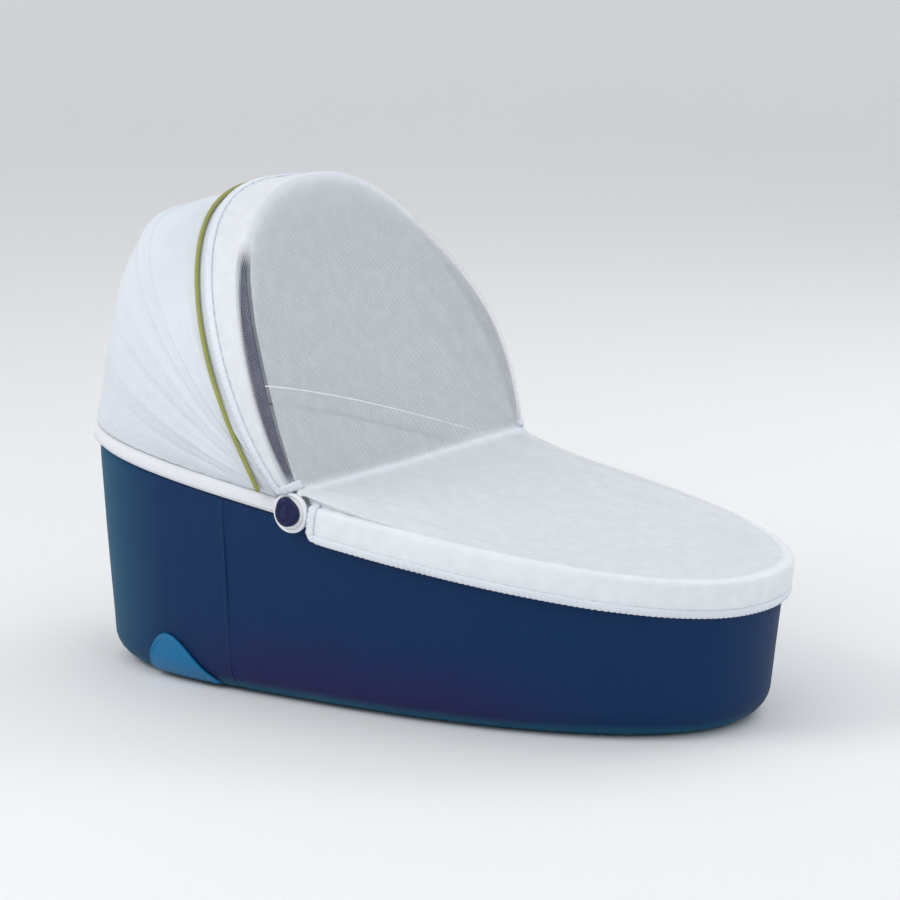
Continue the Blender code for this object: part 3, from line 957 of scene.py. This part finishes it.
def make_net(looks):
    rows, hood_edge, crease_row = net_rows()
    shaped = shape_net(rows, hood_edge, crease_row)
    mesh = grid_mesh("insect_net", shaped, uvs=net_uvs(rows, crease_row))
    density = mesh.attributes.new("Density", "FLOAT", "POINT")
    density.data.foreach_set("value", net_density(shaped, crease_row))
    net = add_piece("insect_net", mesh, net_material(looks.net_colour, looks.mesh_pitch, looks.thread_share),
                    ["net_cover"])
    points, outs = even_loop(*hem_loop(shaped), HEM_SPACING)
    sections, seam = hem_sections(points, outs)
    hem_cloth = woven("net_hem_cloth", [0.88, 0.91, 0.95], [0.74, 0.79, 0.86], pitch=0.0009, strength=0.6)
    hem = add_piece("net_hem", loop_mesh("net_hem", sections, closed_along=True), hem_cloth)
    thread = thread_material("white_thread", [0.80, 0.83, 0.88])
    stitches = add_stitches("net_hem_stitches", [seam + seam[:1]], 0.0034, 0.0024, 0.00022, thread)


# Hood

HOOD_ROWS = 84
HOOD_COLUMNS = 132
HOOP_SHARE = 0.03
PIPING_BEHIND = 0.0135
PIPING_RISE = 0.033
PIPING_RADIUS = 0.0025


def hood_relief(share, turn, point):
    """Bow channel, soft folds that fan out from the hinges, and a puckered hem on the rim."""
    level = arch_level(turn)
    clear = smooth(share, 0.13, 0.20)
    end = 1 - smooth(share, 0.90, 0.97)
    channel = 0.0036 * bump(share, BOW_PLACE, 0.017) * smooth(level, 0.12, 0.35)
    fan = 0.0
    for place, height, width in ((0.24, 0.0022, 0.020), (0.30, -0.0016, 0.016), (0.49, 0.0026, 0.026),
                                 (0.60, -0.0028, 0.030), (0.70, 0.0024, 0.026), (0.82, -0.0018, 0.024)):
        bend = 0.03 * math.sin(2.5 * level + place * 9) * (1 if turn < math.pi / 2 else 0.6)
        fan += height * bump(share, place + bend, width)
    fan *= (1 - smooth(level, 0.55, 0.95)) * smooth(level, 0.08, 0.25)
    lumpy = 0.0016 * soft(point.x * 9, point.y * 9, point.z * 9) + 0.0005 * soft(point.x * 34, point.y * 34, 2.0)
    hem = 0.0006 * math.sin(turn * 90 + 2 * soft(turn * 5)) * bump(share, 0.985, 0.02)
    return (channel + fan + lumpy) * clear * end + hem


def make_hood(looks):
    rows, shares = [], []
    for row in range(HOOD_ROWS + 1):
        place = row / HOOD_ROWS
        share = max(0.0, (place - HOOP_SHARE) / (1 - HOOP_SHARE))
        angle = HOOP_ANGLE + (BACK_ANGLE - HOOP_ANGLE) * share
        lift = HOOP_HALF * (1 - place / HOOP_SHARE) if place < HOOP_SHARE else (RIM_HALF_HEIGHT + 0.0009) * share
        squareness = ARCH_SQUARENESS + (HEAD_SQUARENESS - ARCH_SQUARENESS) * share
        turns = arch_turns(HINGE_CLEAR, roof_reach(angle), squareness, HOOD_COLUMNS)
        rows.append([hood_point(angle, turn, lift=lift) for turn in turns])
        shares.append((share, turns))
    normals = grid_normals(rows)
    shaped = []
    for (share, turns), row, line in zip(shares, rows, normals):
        shaped.append([point + out * hood_relief(share, turn, point) for turn, point, out in zip(turns, row, line)])
    shade = [part * 0.84 for part in looks.hood_colour]
    cloth = woven("hood_cotton", looks.hood_colour, shade, pitch=0.0016, strength=0.6)
    hood = add_piece("hood_skin", grid_mesh("hood_skin", shaped), cloth, ["hood_cloth"])
    thicken(hood, 0.0016, 0.0)
    make_hood_stitches(shaped, normals, shares)


def make_hood_stitches(rows, normals, shares):
    """Rows of stitches beside the bow channel, behind the piping and above the rim."""
    thread = thread_material("hood_thread", [0.72, 0.78, 0.84])
    lines = []
    for wanted in (0.17, BOW_PLACE - 0.034, BOW_PLACE + 0.034, 0.965):
        nearest = min(range(len(shares)), key=lambda row: abs(shares[row][0] - wanted))
        picked = range(4, HOOD_COLUMNS - 3)
        lines.append([rows[nearest][place] + normals[nearest][place] * 0.0009 for place in picked])
    add_stitches("hood_stitches", lines, 0.0042, 0.0028, 0.00026, thread)


def make_piping(looks):
    """Lime cord in its bias tape, with the tape's narrow flange sewn to the hood."""
    turns = arch_turns(HINGE_CLEAR, roof_reach(HOOP_ANGLE), ARCH_SQUARENESS, 260)
    centres, outs = [], []
    for turn in turns:
        level = arch_level(turn)
        behind = PIPING_BEHIND + PIPING_RISE * level
        angle = HOOP_ANGLE + math.asin(behind / (level * roof_reach(HOOP_ANGLE)))
        low, high = hood_point(angle, turn, off=0.0036), hood_point(angle, turn, off=0.0136)
        centres.append(low)
        outs.append((high - low).normalized())
    sections = []
    for place, centre in enumerate(centres):
        tangent = (centres[min(place + 1, len(centres) - 1)] - centres[max(place - 1, 0)]).normalized()
        side = tangent.cross(outs[place]).normalized()
        radius = PIPING_RADIUS * (1 + 0.04 * soft(place * 0.35, 4.0))
        section = []
        for corner in range(14):
            angle = math.tau * corner / 14
            flange = 0.0030 * bump(angle, math.pi * 1.22, 0.34)
            section.append(centre + side * (math.cos(angle) * (radius + flange))
                           + outs[place] * (math.sin(angle) * radius))
        sections.append(section)
    add_piece("lime_piping", loop_mesh("lime_piping", sections), piping_material(looks.piping_colour),
              ["hood_piping"])


def band_section(outer, inner, back, front, corner, count=5):
    """Rounded rectangle between two off-distances and two lifts, as (off, lift) pairs."""
    middle_off, middle_lift = (outer + inner) / 2, (back + front) / 2
    half_off, half_lift = (outer - inner) / 2 - corner, (front - back) / 2 - corner
    pairs = []
    for quarter, (off_side, lift_side) in enumerate(((1, 1), (-1, 1), (-1, -1), (1, -1))):
        for step in range(count):
            angle = math.pi / 2 * (quarter + step / (count - 1))
            off = middle_off + off_side * half_off + corner * math.cos(angle)
            pairs.append((off, middle_lift + lift_side * half_lift + corner * math.sin(angle)))
    return pairs


def make_hoop(looks):
    outer, inner = -0.0017, -0.0067
    rise, tilt = math.sin(HOOP_ANGLE + RIM_SLOPE), -math.cos(HOOP_ANGLE + RIM_SLOPE)
    foot = 0.004
    turns = arch_turns(HINGE_CLEAR, roof_reach(HOOP_ANGLE), ARCH_SQUARENESS, 150)
    sections = []
    for turn in [foot] + turns + [math.pi - foot]:
        back = -HOOP_HALF * min(1.0, 0.2 + 2 * arch_level(turn))
        section = []
        for off, lift in band_section(outer, inner, back, HOOP_HALF, 0.0014):
            floor = (RIM_HALF_HEIGHT + 0.0003 - lift * tilt) / rise
            section.append(hood_point(HOOP_ANGLE, turn, off=off, lift=lift, floor=floor))
        sections.append(section)
    # The hoop's grey is painted shade: it stands for the shaded band seen inside the hood's opening.
    add_piece("hoop_band", loop_mesh("hoop_band", sections), plastic("hoop_grey", looks.hoop_shaded_colour),
              ["front_hoop"])


def make_arms(looks):
    material = plastic("arm_navy", looks.arm_colour, roughness=0.30)
    back = HOOP_HALF + 0.0003
    last = math.asin(ARM_TOP ** (ARCH_SQUARENESS / 2))
    for side, side_name in SIDES.items():
        sections = []
        for turn in arch_turns(ARM_CLEAR, roof_reach(HOOP_ANGLE), ARCH_SQUARENESS, 60, last=last):
            front = back + 0.003 + arm_width(arch_level(turn))
            placed = turn if side < 0 else math.pi - turn
            corners = band_section(-0.0017, -0.0047, back, front, 0.0011, 4)
            sections.append([hood_point(HOOP_ANGLE, placed, off=off, lift=lift) for off, lift in corners])
        name = "hood_blade_" + side_name
        add_piece(name, loop_mesh(name, sections), material, ["hood_arm_" + side_name])


# Hinges

def turned_piece(name, profile, side, material, replaced, swell=None, steps=96):
    """A round piece on the hinge line from (distance out, radius) pairs, closed at both ends."""
    shape = bmesh.new()
    rings = []
    for out, radius in profile:
        ring = []
        for step in range(steps):
            angle = math.tau * step / steps
            wide = radius * (swell(angle, out) if swell else 1.0)
            ring.append(shape.verts.new((HINGE_X + wide * math.cos(angle), side * out,
                                         HINGE_HEIGHT + wide * math.sin(angle))))
        rings.append(ring)
    for first, second in zip(rings, rings[1:]):
        for step in range(steps):
            following = (step + 1) % steps
            shape.faces.new((first[step], first[following], second[following], second[step]))
    shape.faces.new(rings[0])
    shape.faces.new(rings[-1])
    bmesh.ops.recalc_face_normals(shape, faces=shape.faces)
    mesh = bpy.data.meshes.new(name)
    shape.to_mesh(mesh)
    shape.free()
    mesh.shade_smooth()
    mesh.set_sharp_from_angle(angle=math.radians(50))
    return add_piece(name, mesh, material, replaced)


def make_hinges(looks):
    white = plastic("hinge_white", looks.rim_colour, roughness=0.34)
    navy = plastic("knob_navy", looks.arm_colour, roughness=0.28)
    base = HALF_WIDTH + 0.0005
    plate = [(0.0, 0.0205), (0.0004, 0.0216), (0.0020, 0.0220), (0.0038, 0.0217), (0.0047, 0.0208),
             (0.0050, 0.0198), (0.0050, 0.0178), (0.0044, 0.0172), (0.0044, 0.0158), (0.0049, 0.0153), (0.0049, 0.0020)]
    knob = [(0.0053, 0.0130), (0.0056, 0.0138), (0.0075, 0.0140), (0.0105, 0.0139), (0.0125, 0.0134),
            (0.0136, 0.0122), (0.0142, 0.0104), (0.0142, 0.0090), (0.0136, 0.0086), (0.0136, 0.0058),
            (0.0141, 0.0054), (0.0146, 0.0040), (0.0148, 0.0008)]

    def grip(angle, out):
        """Notches round the knob's side and a tip that points up its arm."""
        notch = 0.035 * max(0.0, math.cos(14 * angle)) ** 6 if 0.006 < out < 0.013 else 0.0
        tip = 0.30 * max(0.0, math.cos(angle - math.radians(108))) ** 6
        return 1 - notch + tip

    for side, side_name in SIDES.items():
        plate_profile = [(base + out, radius) for out, radius in plate]
        knob_profile = [(base + out, radius) for out, radius in knob]
        turned_piece("hinge_ring_" + side_name, plate_profile, side, white,
                     ["hinge_plate_" + side_name])
        turned_piece("hinge_button_" + side_name, knob_profile, side, navy,
                     ["hinge_knob_" + side_name], swell=lambda angle, out: grip(angle, out - base))


# Tub

RING_STEPS = 264
RIM_LENGTH = 2.2


def make_rim(looks):
    """Padded binding: puffed section, small puckers, and a row of stitches low on its outer side."""
    turns = even_ring(480)
    sections, lower = [], []
    for place, turn in enumerate(turns):
        run = RIM_LENGTH * place / len(turns)
        pucker = math.sin(math.tau * run / 0.0115 + 1.6 * soft(run / 0.05, 8.0)) * (0.6 + 0.4 * soft(run / 0.08))
        section = []
        for corner in range(18):
            angle = math.tau * corner / 18
            inset = RIM_WIDTH / 2 - power(math.cos(angle), 0.72) * RIM_WIDTH / 2
            lift = power(math.sin(angle), 0.72) * RIM_HALF_HEIGHT
            swell = 0.00028 * pucker * bump(math.cos(angle), 1.0, 0.5)
            section.append(rim_point(*outline(turn, inset - swell), lift))
        sections.append(section)
        lower.append(rim_point(*outline(turn, 0.0001 - 0.0003 * pucker), -0.0052))
    cloth = woven("rim_cotton", looks.rim_colour, [part * 0.9 for part in looks.rim_colour], pitch=0.0010)
    rim = add_piece("rim_binding", loop_mesh("rim_binding", sections, closed_along=True), cloth,
                    ["tub_rim"])
    thread = thread_material("rim_thread", [0.74, 0.78, 0.84])
    add_stitches("rim_stitches", [lower + lower[:1]], 0.0040, 0.0027, 0.00028, thread)


def tub_rows(inward, top_lift, ring, arcs, walls, floor_rows=0):
    """Rings of the tub's skin from its flat bottom to the rim, moved inward by a distance."""
    rounding = BOTTOM_ROUND - inward
    base_inset = WALL_INSET + TUB_TAPER + inward
    rows = []
    for step in range(arcs + 1):
        turn = math.pi / 2 * step / arcs
        inset = base_inset + rounding * (1 - math.sin(turn))
        height = inward + rounding * (1 - math.cos(turn))
        rows.append([Vector((*outline(place, inset), height)) for place in ring])
    for step in range(1, walls + 1):
        share = step / walls
        row = []
        for place in ring:
            x, y = outline(place, base_inset - TUB_TAPER * min(1.0, share / LIP_START))
            top = rim_point(x, y).z + top_lift
            row.append(Vector((x, y, BOTTOM_ROUND + (top - BOTTOM_ROUND) * share)))
        rows.append(row)
    if floor_rows:
        edge = rows[0]
        centre = Vector((HINGE_X + 0.05, 0.0, edge[0].z))
        inner = [[centre.lerp(point, step / floor_rows) for point in edge] for step in range(1, floor_rows)]
        rows = inner + rows
    return rows


def make_tub(looks):
    """Stretched navy cloth over the stiff tub, slack enough to ripple a little, with a welted seam each side."""
    ring = even_ring(RING_STEPS)
    rows = tub_rows(0.0, -0.0099, ring, 8, 26)
    normals = grid_normals(rows, closed=True)
    shaped = []
    for row, line in zip(rows, normals):
        made = []
        for point, out in zip(row, line):
            free = smooth(point.z, 0.01, 0.05)
            slack = 0.0009 * soft(point.x * 7, point.y * 7, point.z * 10)
            slack += 0.0004 * soft(point.x * 26, point.y * 26, point.z * 8)
            made.append(point + out * slack * free)
        shaped.append(made)
    tub = add_piece("tub_cloth", grid_mesh("tub_cloth", shaped, closed=True, floor=True),
                    tub_material(looks.tub_colour, looks.reflection_teal_colour, looks.shade_plum_colour), ["tub_shell"])
    thicken(tub, TUB_WALL, -1.0)
    make_welts(tub)


WELT_PLACES = (-0.151,)


def wall_point(x, height, side, outward):
    """A point off the tub's outer wall, by its place along the tub and its height."""
    top = rim_point(x, 0.0).z - RIM_HALF_HEIGHT
    share = max(0.0, min(1.0, (height - BOTTOM_ROUND) / (top - BOTTOM_ROUND)))
    inset = WALL_INSET + TUB_TAPER * (1 - min(1.0, share / LIP_START)) - outward
    below = max(0.0, BOTTOM_ROUND - height)
    inset += BOTTOM_ROUND - math.sqrt(BOTTOM_ROUND ** 2 - below ** 2)
    foot = x >= HINGE_X
    reach = (FOOT_REACH if foot else HEAD_REACH) - inset
    squareness = FOOT_SQUARENESS if foot else HEAD_SQUARENESS
    level = min(1.0, abs(HINGE_X - x) / reach)
    half = (HALF_WIDTH - inset) * (1 - level ** squareness) ** (1 / squareness)
    return Vector((x, side * half, height))


def make_welts(tub):
    """Flat-felled seams down the tub's sides, with a line of stitches beside each."""
    lines = []
    for side, side_name in SIDES.items():
        for number, x in enumerate(WELT_PLACES):
            top = rim_point(x, 0.0).z - RIM_HALF_HEIGHT - 0.002
            sections = []
            for step in range(41):
                height = 0.010 + (top - 0.010) * step / 40
                section = []
                for along, out in ((-0.0032, -0.0006), (-0.0026, 0.0007), (-0.0010, 0.0010), (0.0010, 0.0010),
                                   (0.0026, 0.0007), (0.0032, -0.0006)):
                    section.append(wall_point(x + along, height, side, out))
                sections.append(section)
            name = f"tub_welt_{side_name}_{number + 1}"
            add_piece(name, loop_mesh(name, sections), tub.data.materials[0])
            heights = [0.012 + (top - 0.014) * step / 60 for step in range(61)]
            lines.append([wall_point(x + 0.0016, height, side, 0.0013) for height in heights])
    thread = thread_material("navy_thread", [0.03, 0.07, 0.17])
    add_stitches("tub_stitches", lines, 0.0040, 0.0027, 0.00028, thread)


def quilt(across, along, pitch=0.052):
    """Puffs of a diamond quilting, 0 on its sewn lines."""
    first = abs(math.sin(math.pi * (along + across) / pitch))
    second = abs(math.sin(math.pi * (along - across) / pitch))
    return (min(first, second)) ** 0.55


def make_liner(looks):
    """Quilted white lining: puffed diamonds on the floor and the walls."""
    ring = even_ring(300)
    rows = tub_rows(LINER_INWARD, -0.0106, ring, 6, 24, floor_rows=26)
    normals = grid_normals(rows, closed=True)
    runs = run_lengths(rows[-1])
    shaped = []
    for row, line in zip(rows, normals):
        made = []
        for place, (point, out) in enumerate(zip(row, line)):
            wall = smooth(point.z, LINER_INWARD + 0.004, BOTTOM_ROUND + 0.02)
            top = rim_point(point.x, point.y).z - 0.02
            fade = 1 - smooth(point.z, top - 0.02, top)
            puff_floor = quilt(point.y, point.x) * (1 - wall)
            puff_wall = quilt(runs[place], point.z) * wall
            made.append(point - out * (0.0036 * (puff_floor + puff_wall) * fade))
        shaped.append(made)
    cloth = woven("liner_cotton", looks.liner_colour, [part * 0.9 for part in looks.liner_colour], strength=0.4)
    liner = add_piece("quilted_liner", grid_mesh("quilted_liner", shaped, closed=True, floor=True), cloth,
                      ["tub_liner"])
    thicken(liner, 0.003, 1.0)


# Side pads

PAD_HEAD_X = -0.274
PAD_WIDTH = 0.100
PAD_HEIGHT = 0.050
PAD_LEAN = 1.56
PAD_POINTEDNESS = 1.4
PAD_END = 0.07
PAD_BOTTOM = 0.005
PAD_THICKNESS = 0.0034


def pad_outward(share, level):
    """The pad's rounded edge, its sunk face and the small ridge round it."""
    border = min(share, 1 - share) * PAD_WIDTH
    top = (1 - level) * PAD_HEIGHT * math.sin(math.pi * share) ** 0.6
    near = min(border, top, level * PAD_HEIGHT + 0.002)
    edge = math.sqrt(max(0.0, 1 - (1 - min(near, 0.003) / 0.003) ** 2))
    sunk = 0.0007 * smooth(near, 0.0065, 0.0080)
    return PAD_THICKNESS * edge - sunk


def make_pads(looks):
    material = plastic("pad_blue", looks.pad_colour, roughness=0.33)
    columns, levels = 84, 56
    for side, side_name in SIDES.items():
        rows = []
        for level_step in range(levels + 1):
            level = level_step / levels
            row = []
            for step in range(columns + 1):
                share = step / columns
                x = PAD_HEAD_X + PAD_WIDTH * share ** PAD_LEAN
                arch = math.sin(math.pi * (PAD_END + (1 - 2 * PAD_END) * share)) ** PAD_POINTEDNESS
                height = PAD_BOTTOM + PAD_HEIGHT * arch * level
                row.append(wall_point(x, height, side, 0.0016 + pad_outward(share, level)))
            rows.append(row if side < 0 else row[::-1])
        name = "side_pad_" + side_name + "_skin"
        pad = add_piece(name, grid_mesh(name, rows), material, ["side_pad_" + side_name])
        thicken(pad, 0.0009, -1.0)


# Studio

def make_camera(looks):
    data = bpy.data.cameras.new("studio_camera")
    camera = bpy.data.objects.new("studio_camera", data)
    bpy.context.scene.collection.objects.link(camera)
    azimuth, elevation = math.radians(looks.azimuth), math.radians(looks.elevation)
    back = Vector((math.sin(azimuth) * math.cos(elevation), -math.cos(azimuth) * math.cos(elevation),
                   math.sin(elevation)))
    low, high = (Vector(corner) for corner in CAD_BOUNDS)
    aim = (low + high) / 2 + Vector((0.004, 0.0, -0.018))
    data.lens = looks.lens
    camera.location = aim + back * looks.distance
    camera.rotation_euler = (-back).to_track_quat("-Z", "Y").to_euler()
    data.clip_end = 30.0
    bpy.context.scene.camera = camera


def add_softbox(name, place, aim, size, power_watts, colour):
    data = bpy.data.lights.new(name, "AREA")
    data.shape = "RECTANGLE"
    data.size, data.size_y = size
    data.energy = power_watts
    data.color = colour
    light = bpy.data.objects.new(name, data)
    light.location = place
    light.rotation_euler = (Vector(aim) - Vector(place)).to_track_quat("-Z", "Y").to_euler()
    bpy.context.scene.collection.objects.link(light)


def make_backdrop(looks):
    """Pale floor that curves up into a wall on every side, far from the object."""
    profile = [(4.6, 0.0), (5.6, 0.06), (6.3, 0.4), (6.8, 1.1), (7.0, 2.2), (7.1, 5.0)]
    steps = 72
    rows = []
    for reach, height in spline_between([Vector(pair) for pair in profile], [6] * 5):
        rows.append([Vector((reach * math.cos(math.tau * step / steps), reach * math.sin(math.tau * step / steps),
                             height)) for step in range(steps)])
    mesh = grid_mesh("studio_floor", rows, closed=True, floor=True)
    floor = bpy.data.objects.new("studio_floor", mesh)
    bpy.context.scene.collection.objects.link(floor)
    floor.data.materials.append(floor_material(looks.floor_colour))


def make_lights():
    centre = (0.0, 0.0, 0.22)
    add_softbox("key_softbox", (-1.5, -2.0, 2.3), centre, (1.8, 1.4), 34.0, (1.0, 0.985, 0.96))
    add_softbox("fill_softbox", (2.3, -1.2, 1.3), centre, (1.6, 1.6), 9.0, (0.95, 0.975, 1.0))
    add_softbox("back_softbox", (0.6, 2.2, 2.0), centre, (2.0, 1.0), 16.0, (0.97, 0.985, 1.0))
    bpy.context.scene.view_settings.view_transform = "Standard"
    bpy.context.scene.view_settings.exposure = -0.03
    world = bpy.data.worlds.new("studio_air")
    world.use_nodes = True
    background = world.node_tree.nodes["Background"]
    background.inputs["Color"].default_value = (0.93, 0.96, 1.0, 1.0)
    background.inputs["Strength"].default_value = 0.80
    bpy.context.scene.world = world


# Add-on

def colour_property(name, description, default):
    return FloatVectorProperty(name=name, description=description, default=default, size=3, min=0.0, max=1.0,
                               subtype="COLOR")


class CarrycotLooks(bpy.types.PropertyGroup):
    """Colours and sizes that a user would change."""
    net_colour: colour_property("Net", "Colour of the net's threads", (0.90, 0.93, 0.97))
    mesh_pitch: FloatProperty(name="Mesh pitch", description="Distance between threads of the net",
                              default=0.0026, unit="LENGTH")
    thread_share: FloatProperty(name="Thread share", description="Share of the mesh that a thread covers",
                                default=0.34, min=0.05, max=0.9)
    hood_colour: colour_property("Hood", "Colour of the hood's cloth", (0.80, 0.85, 0.91))
    rim_colour: colour_property("Rim", "Colour of the padded rim and the hinge plates", (0.86, 0.88, 0.91))
    liner_colour: colour_property("Lining", "Colour of the quilted lining", (0.82, 0.85, 0.89))
    piping_colour: colour_property("Piping", "Colour of the piping", (0.42, 0.44, 0.11))
    # Grey of the hoop: painted shade of the band inside the hood's opening.
    hoop_shaded_colour: colour_property("Hoop", "Colour of the front hoop", (0.52, 0.56, 0.61))
    arm_colour: colour_property("Arms", "Colour of the hood's arms and knobs", (0.003, 0.008, 0.060))
    tub_colour: colour_property("Tub", "Main colour of the tub's cloth", (0.001, 0.024, 0.088))
    # Painted reflection colour for the tub's head end and bottom edge.
    reflection_teal_colour: colour_property("Tub edge", "Colour at the tub's head end and bottom edge", (0.002, 0.125, 0.200))
    # Painted shade colour low on the tub's sides.
    shade_plum_colour: colour_property("Tub shade", "Colour low on the tub's sides", (0.020, 0.006, 0.072))
    pad_colour: colour_property("Side pads", "Colour of the arched side pads", (0.002, 0.150, 0.340))
    floor_colour: colour_property("Floor", "Colour of the studio floor", (0.90, 0.90, 0.90))
    azimuth: FloatProperty(name="Azimuth", description="Camera's place round the object, in degrees", default=34.0)
    elevation: FloatProperty(name="Elevation", description="Camera's height, in degrees", default=11.0)
    lens: FloatProperty(name="Lens", description="Focal length in millimetres", default=162.0)
    distance: FloatProperty(name="Distance", description="Camera's distance", default=4.4, unit="LENGTH")


def looks_of(context):
    return context.scene.carrycot_looks


class CARRYCOT_OT_tub(bpy.types.Operator):
    """Make the tub's cloth, its seams, the padded rim and the quilted lining"""
    bl_idname = "carrycot.tub"
    bl_label = "Tub, rim and lining"

    def execute(self, context):
        looks = looks_of(context)
        make_tub(looks)
        make_rim(looks)
        make_liner(looks)
        return {"FINISHED"}


class CARRYCOT_OT_hood(bpy.types.Operator):
    """Make the hood's cloth, piping, front hoop and arms"""
    bl_idname = "carrycot.hood"
    bl_label = "Hood"

    def execute(self, context):
        looks = looks_of(context)
        make_hood(looks)
        make_piping(looks)
        make_hoop(looks)
        make_arms(looks)
        return {"FINISHED"}


class CARRYCOT_OT_fittings(bpy.types.Operator):
    """Make the hinges and the side pads"""
    bl_idname = "carrycot.fittings"
    bl_label = "Hinges and side pads"

    def execute(self, context):
        looks = looks_of(context)
        make_hinges(looks)
        make_pads(looks)
        return {"FINISHED"}


class CARRYCOT_OT_net(bpy.types.Operator):
    """Stretch the net over the hood and the tub, with its gathered hem"""
    bl_idname = "carrycot.net"
    bl_label = "Insect net"

    def execute(self, context):
        make_net(looks_of(context))
        return {"FINISHED"}


class CARRYCOT_OT_stage(bpy.types.Operator):
    """Make the floor, the lights and the camera"""
    bl_idname = "carrycot.stage"
    bl_label = "Studio"

    def execute(self, context):
        looks = looks_of(context)
        make_backdrop(looks)
        make_lights()
        make_camera(looks)
        return {"FINISHED"}


OPERATORS = (CARRYCOT_OT_tub, CARRYCOT_OT_hood, CARRYCOT_OT_fittings, CARRYCOT_OT_net, CARRYCOT_OT_stage)


class CARRYCOT_PT_sidebar(bpy.types.Panel):
    """Lists the steps and the looks"""
    bl_idname = "CARRYCOT_PT_sidebar"
    bl_label = "Carrycot"
    bl_space_type = "VIEW_3D"
    bl_region_type = "UI"
    bl_category = "Carrycot"

    def draw(self, context):
        looks = looks_of(context)
        for name in looks.bl_rna.properties.keys():
            if name not in {"rna_type", "name"}:
                self.layout.prop(looks, name)
        for operator in OPERATORS:
            self.layout.operator(operator.bl_idname)


CLASSES = (CarrycotLooks, *OPERATORS, CARRYCOT_PT_sidebar)


def register():
    for made in CLASSES:
        bpy.utils.register_class(made)
    bpy.types.Scene.carrycot_looks = PointerProperty(type=CarrycotLooks)


def unregister():
    del bpy.types.Scene.carrycot_looks
    for made in reversed(CLASSES):
        bpy.utils.unregister_class(made)


def main():
    register()
    bpy.ops.carrycot.tub()
    bpy.ops.carrycot.hood()
    bpy.ops.carrycot.fittings()
    bpy.ops.carrycot.net()
    bpy.ops.carrycot.stage()


if __name__ == "__main__":
    main()
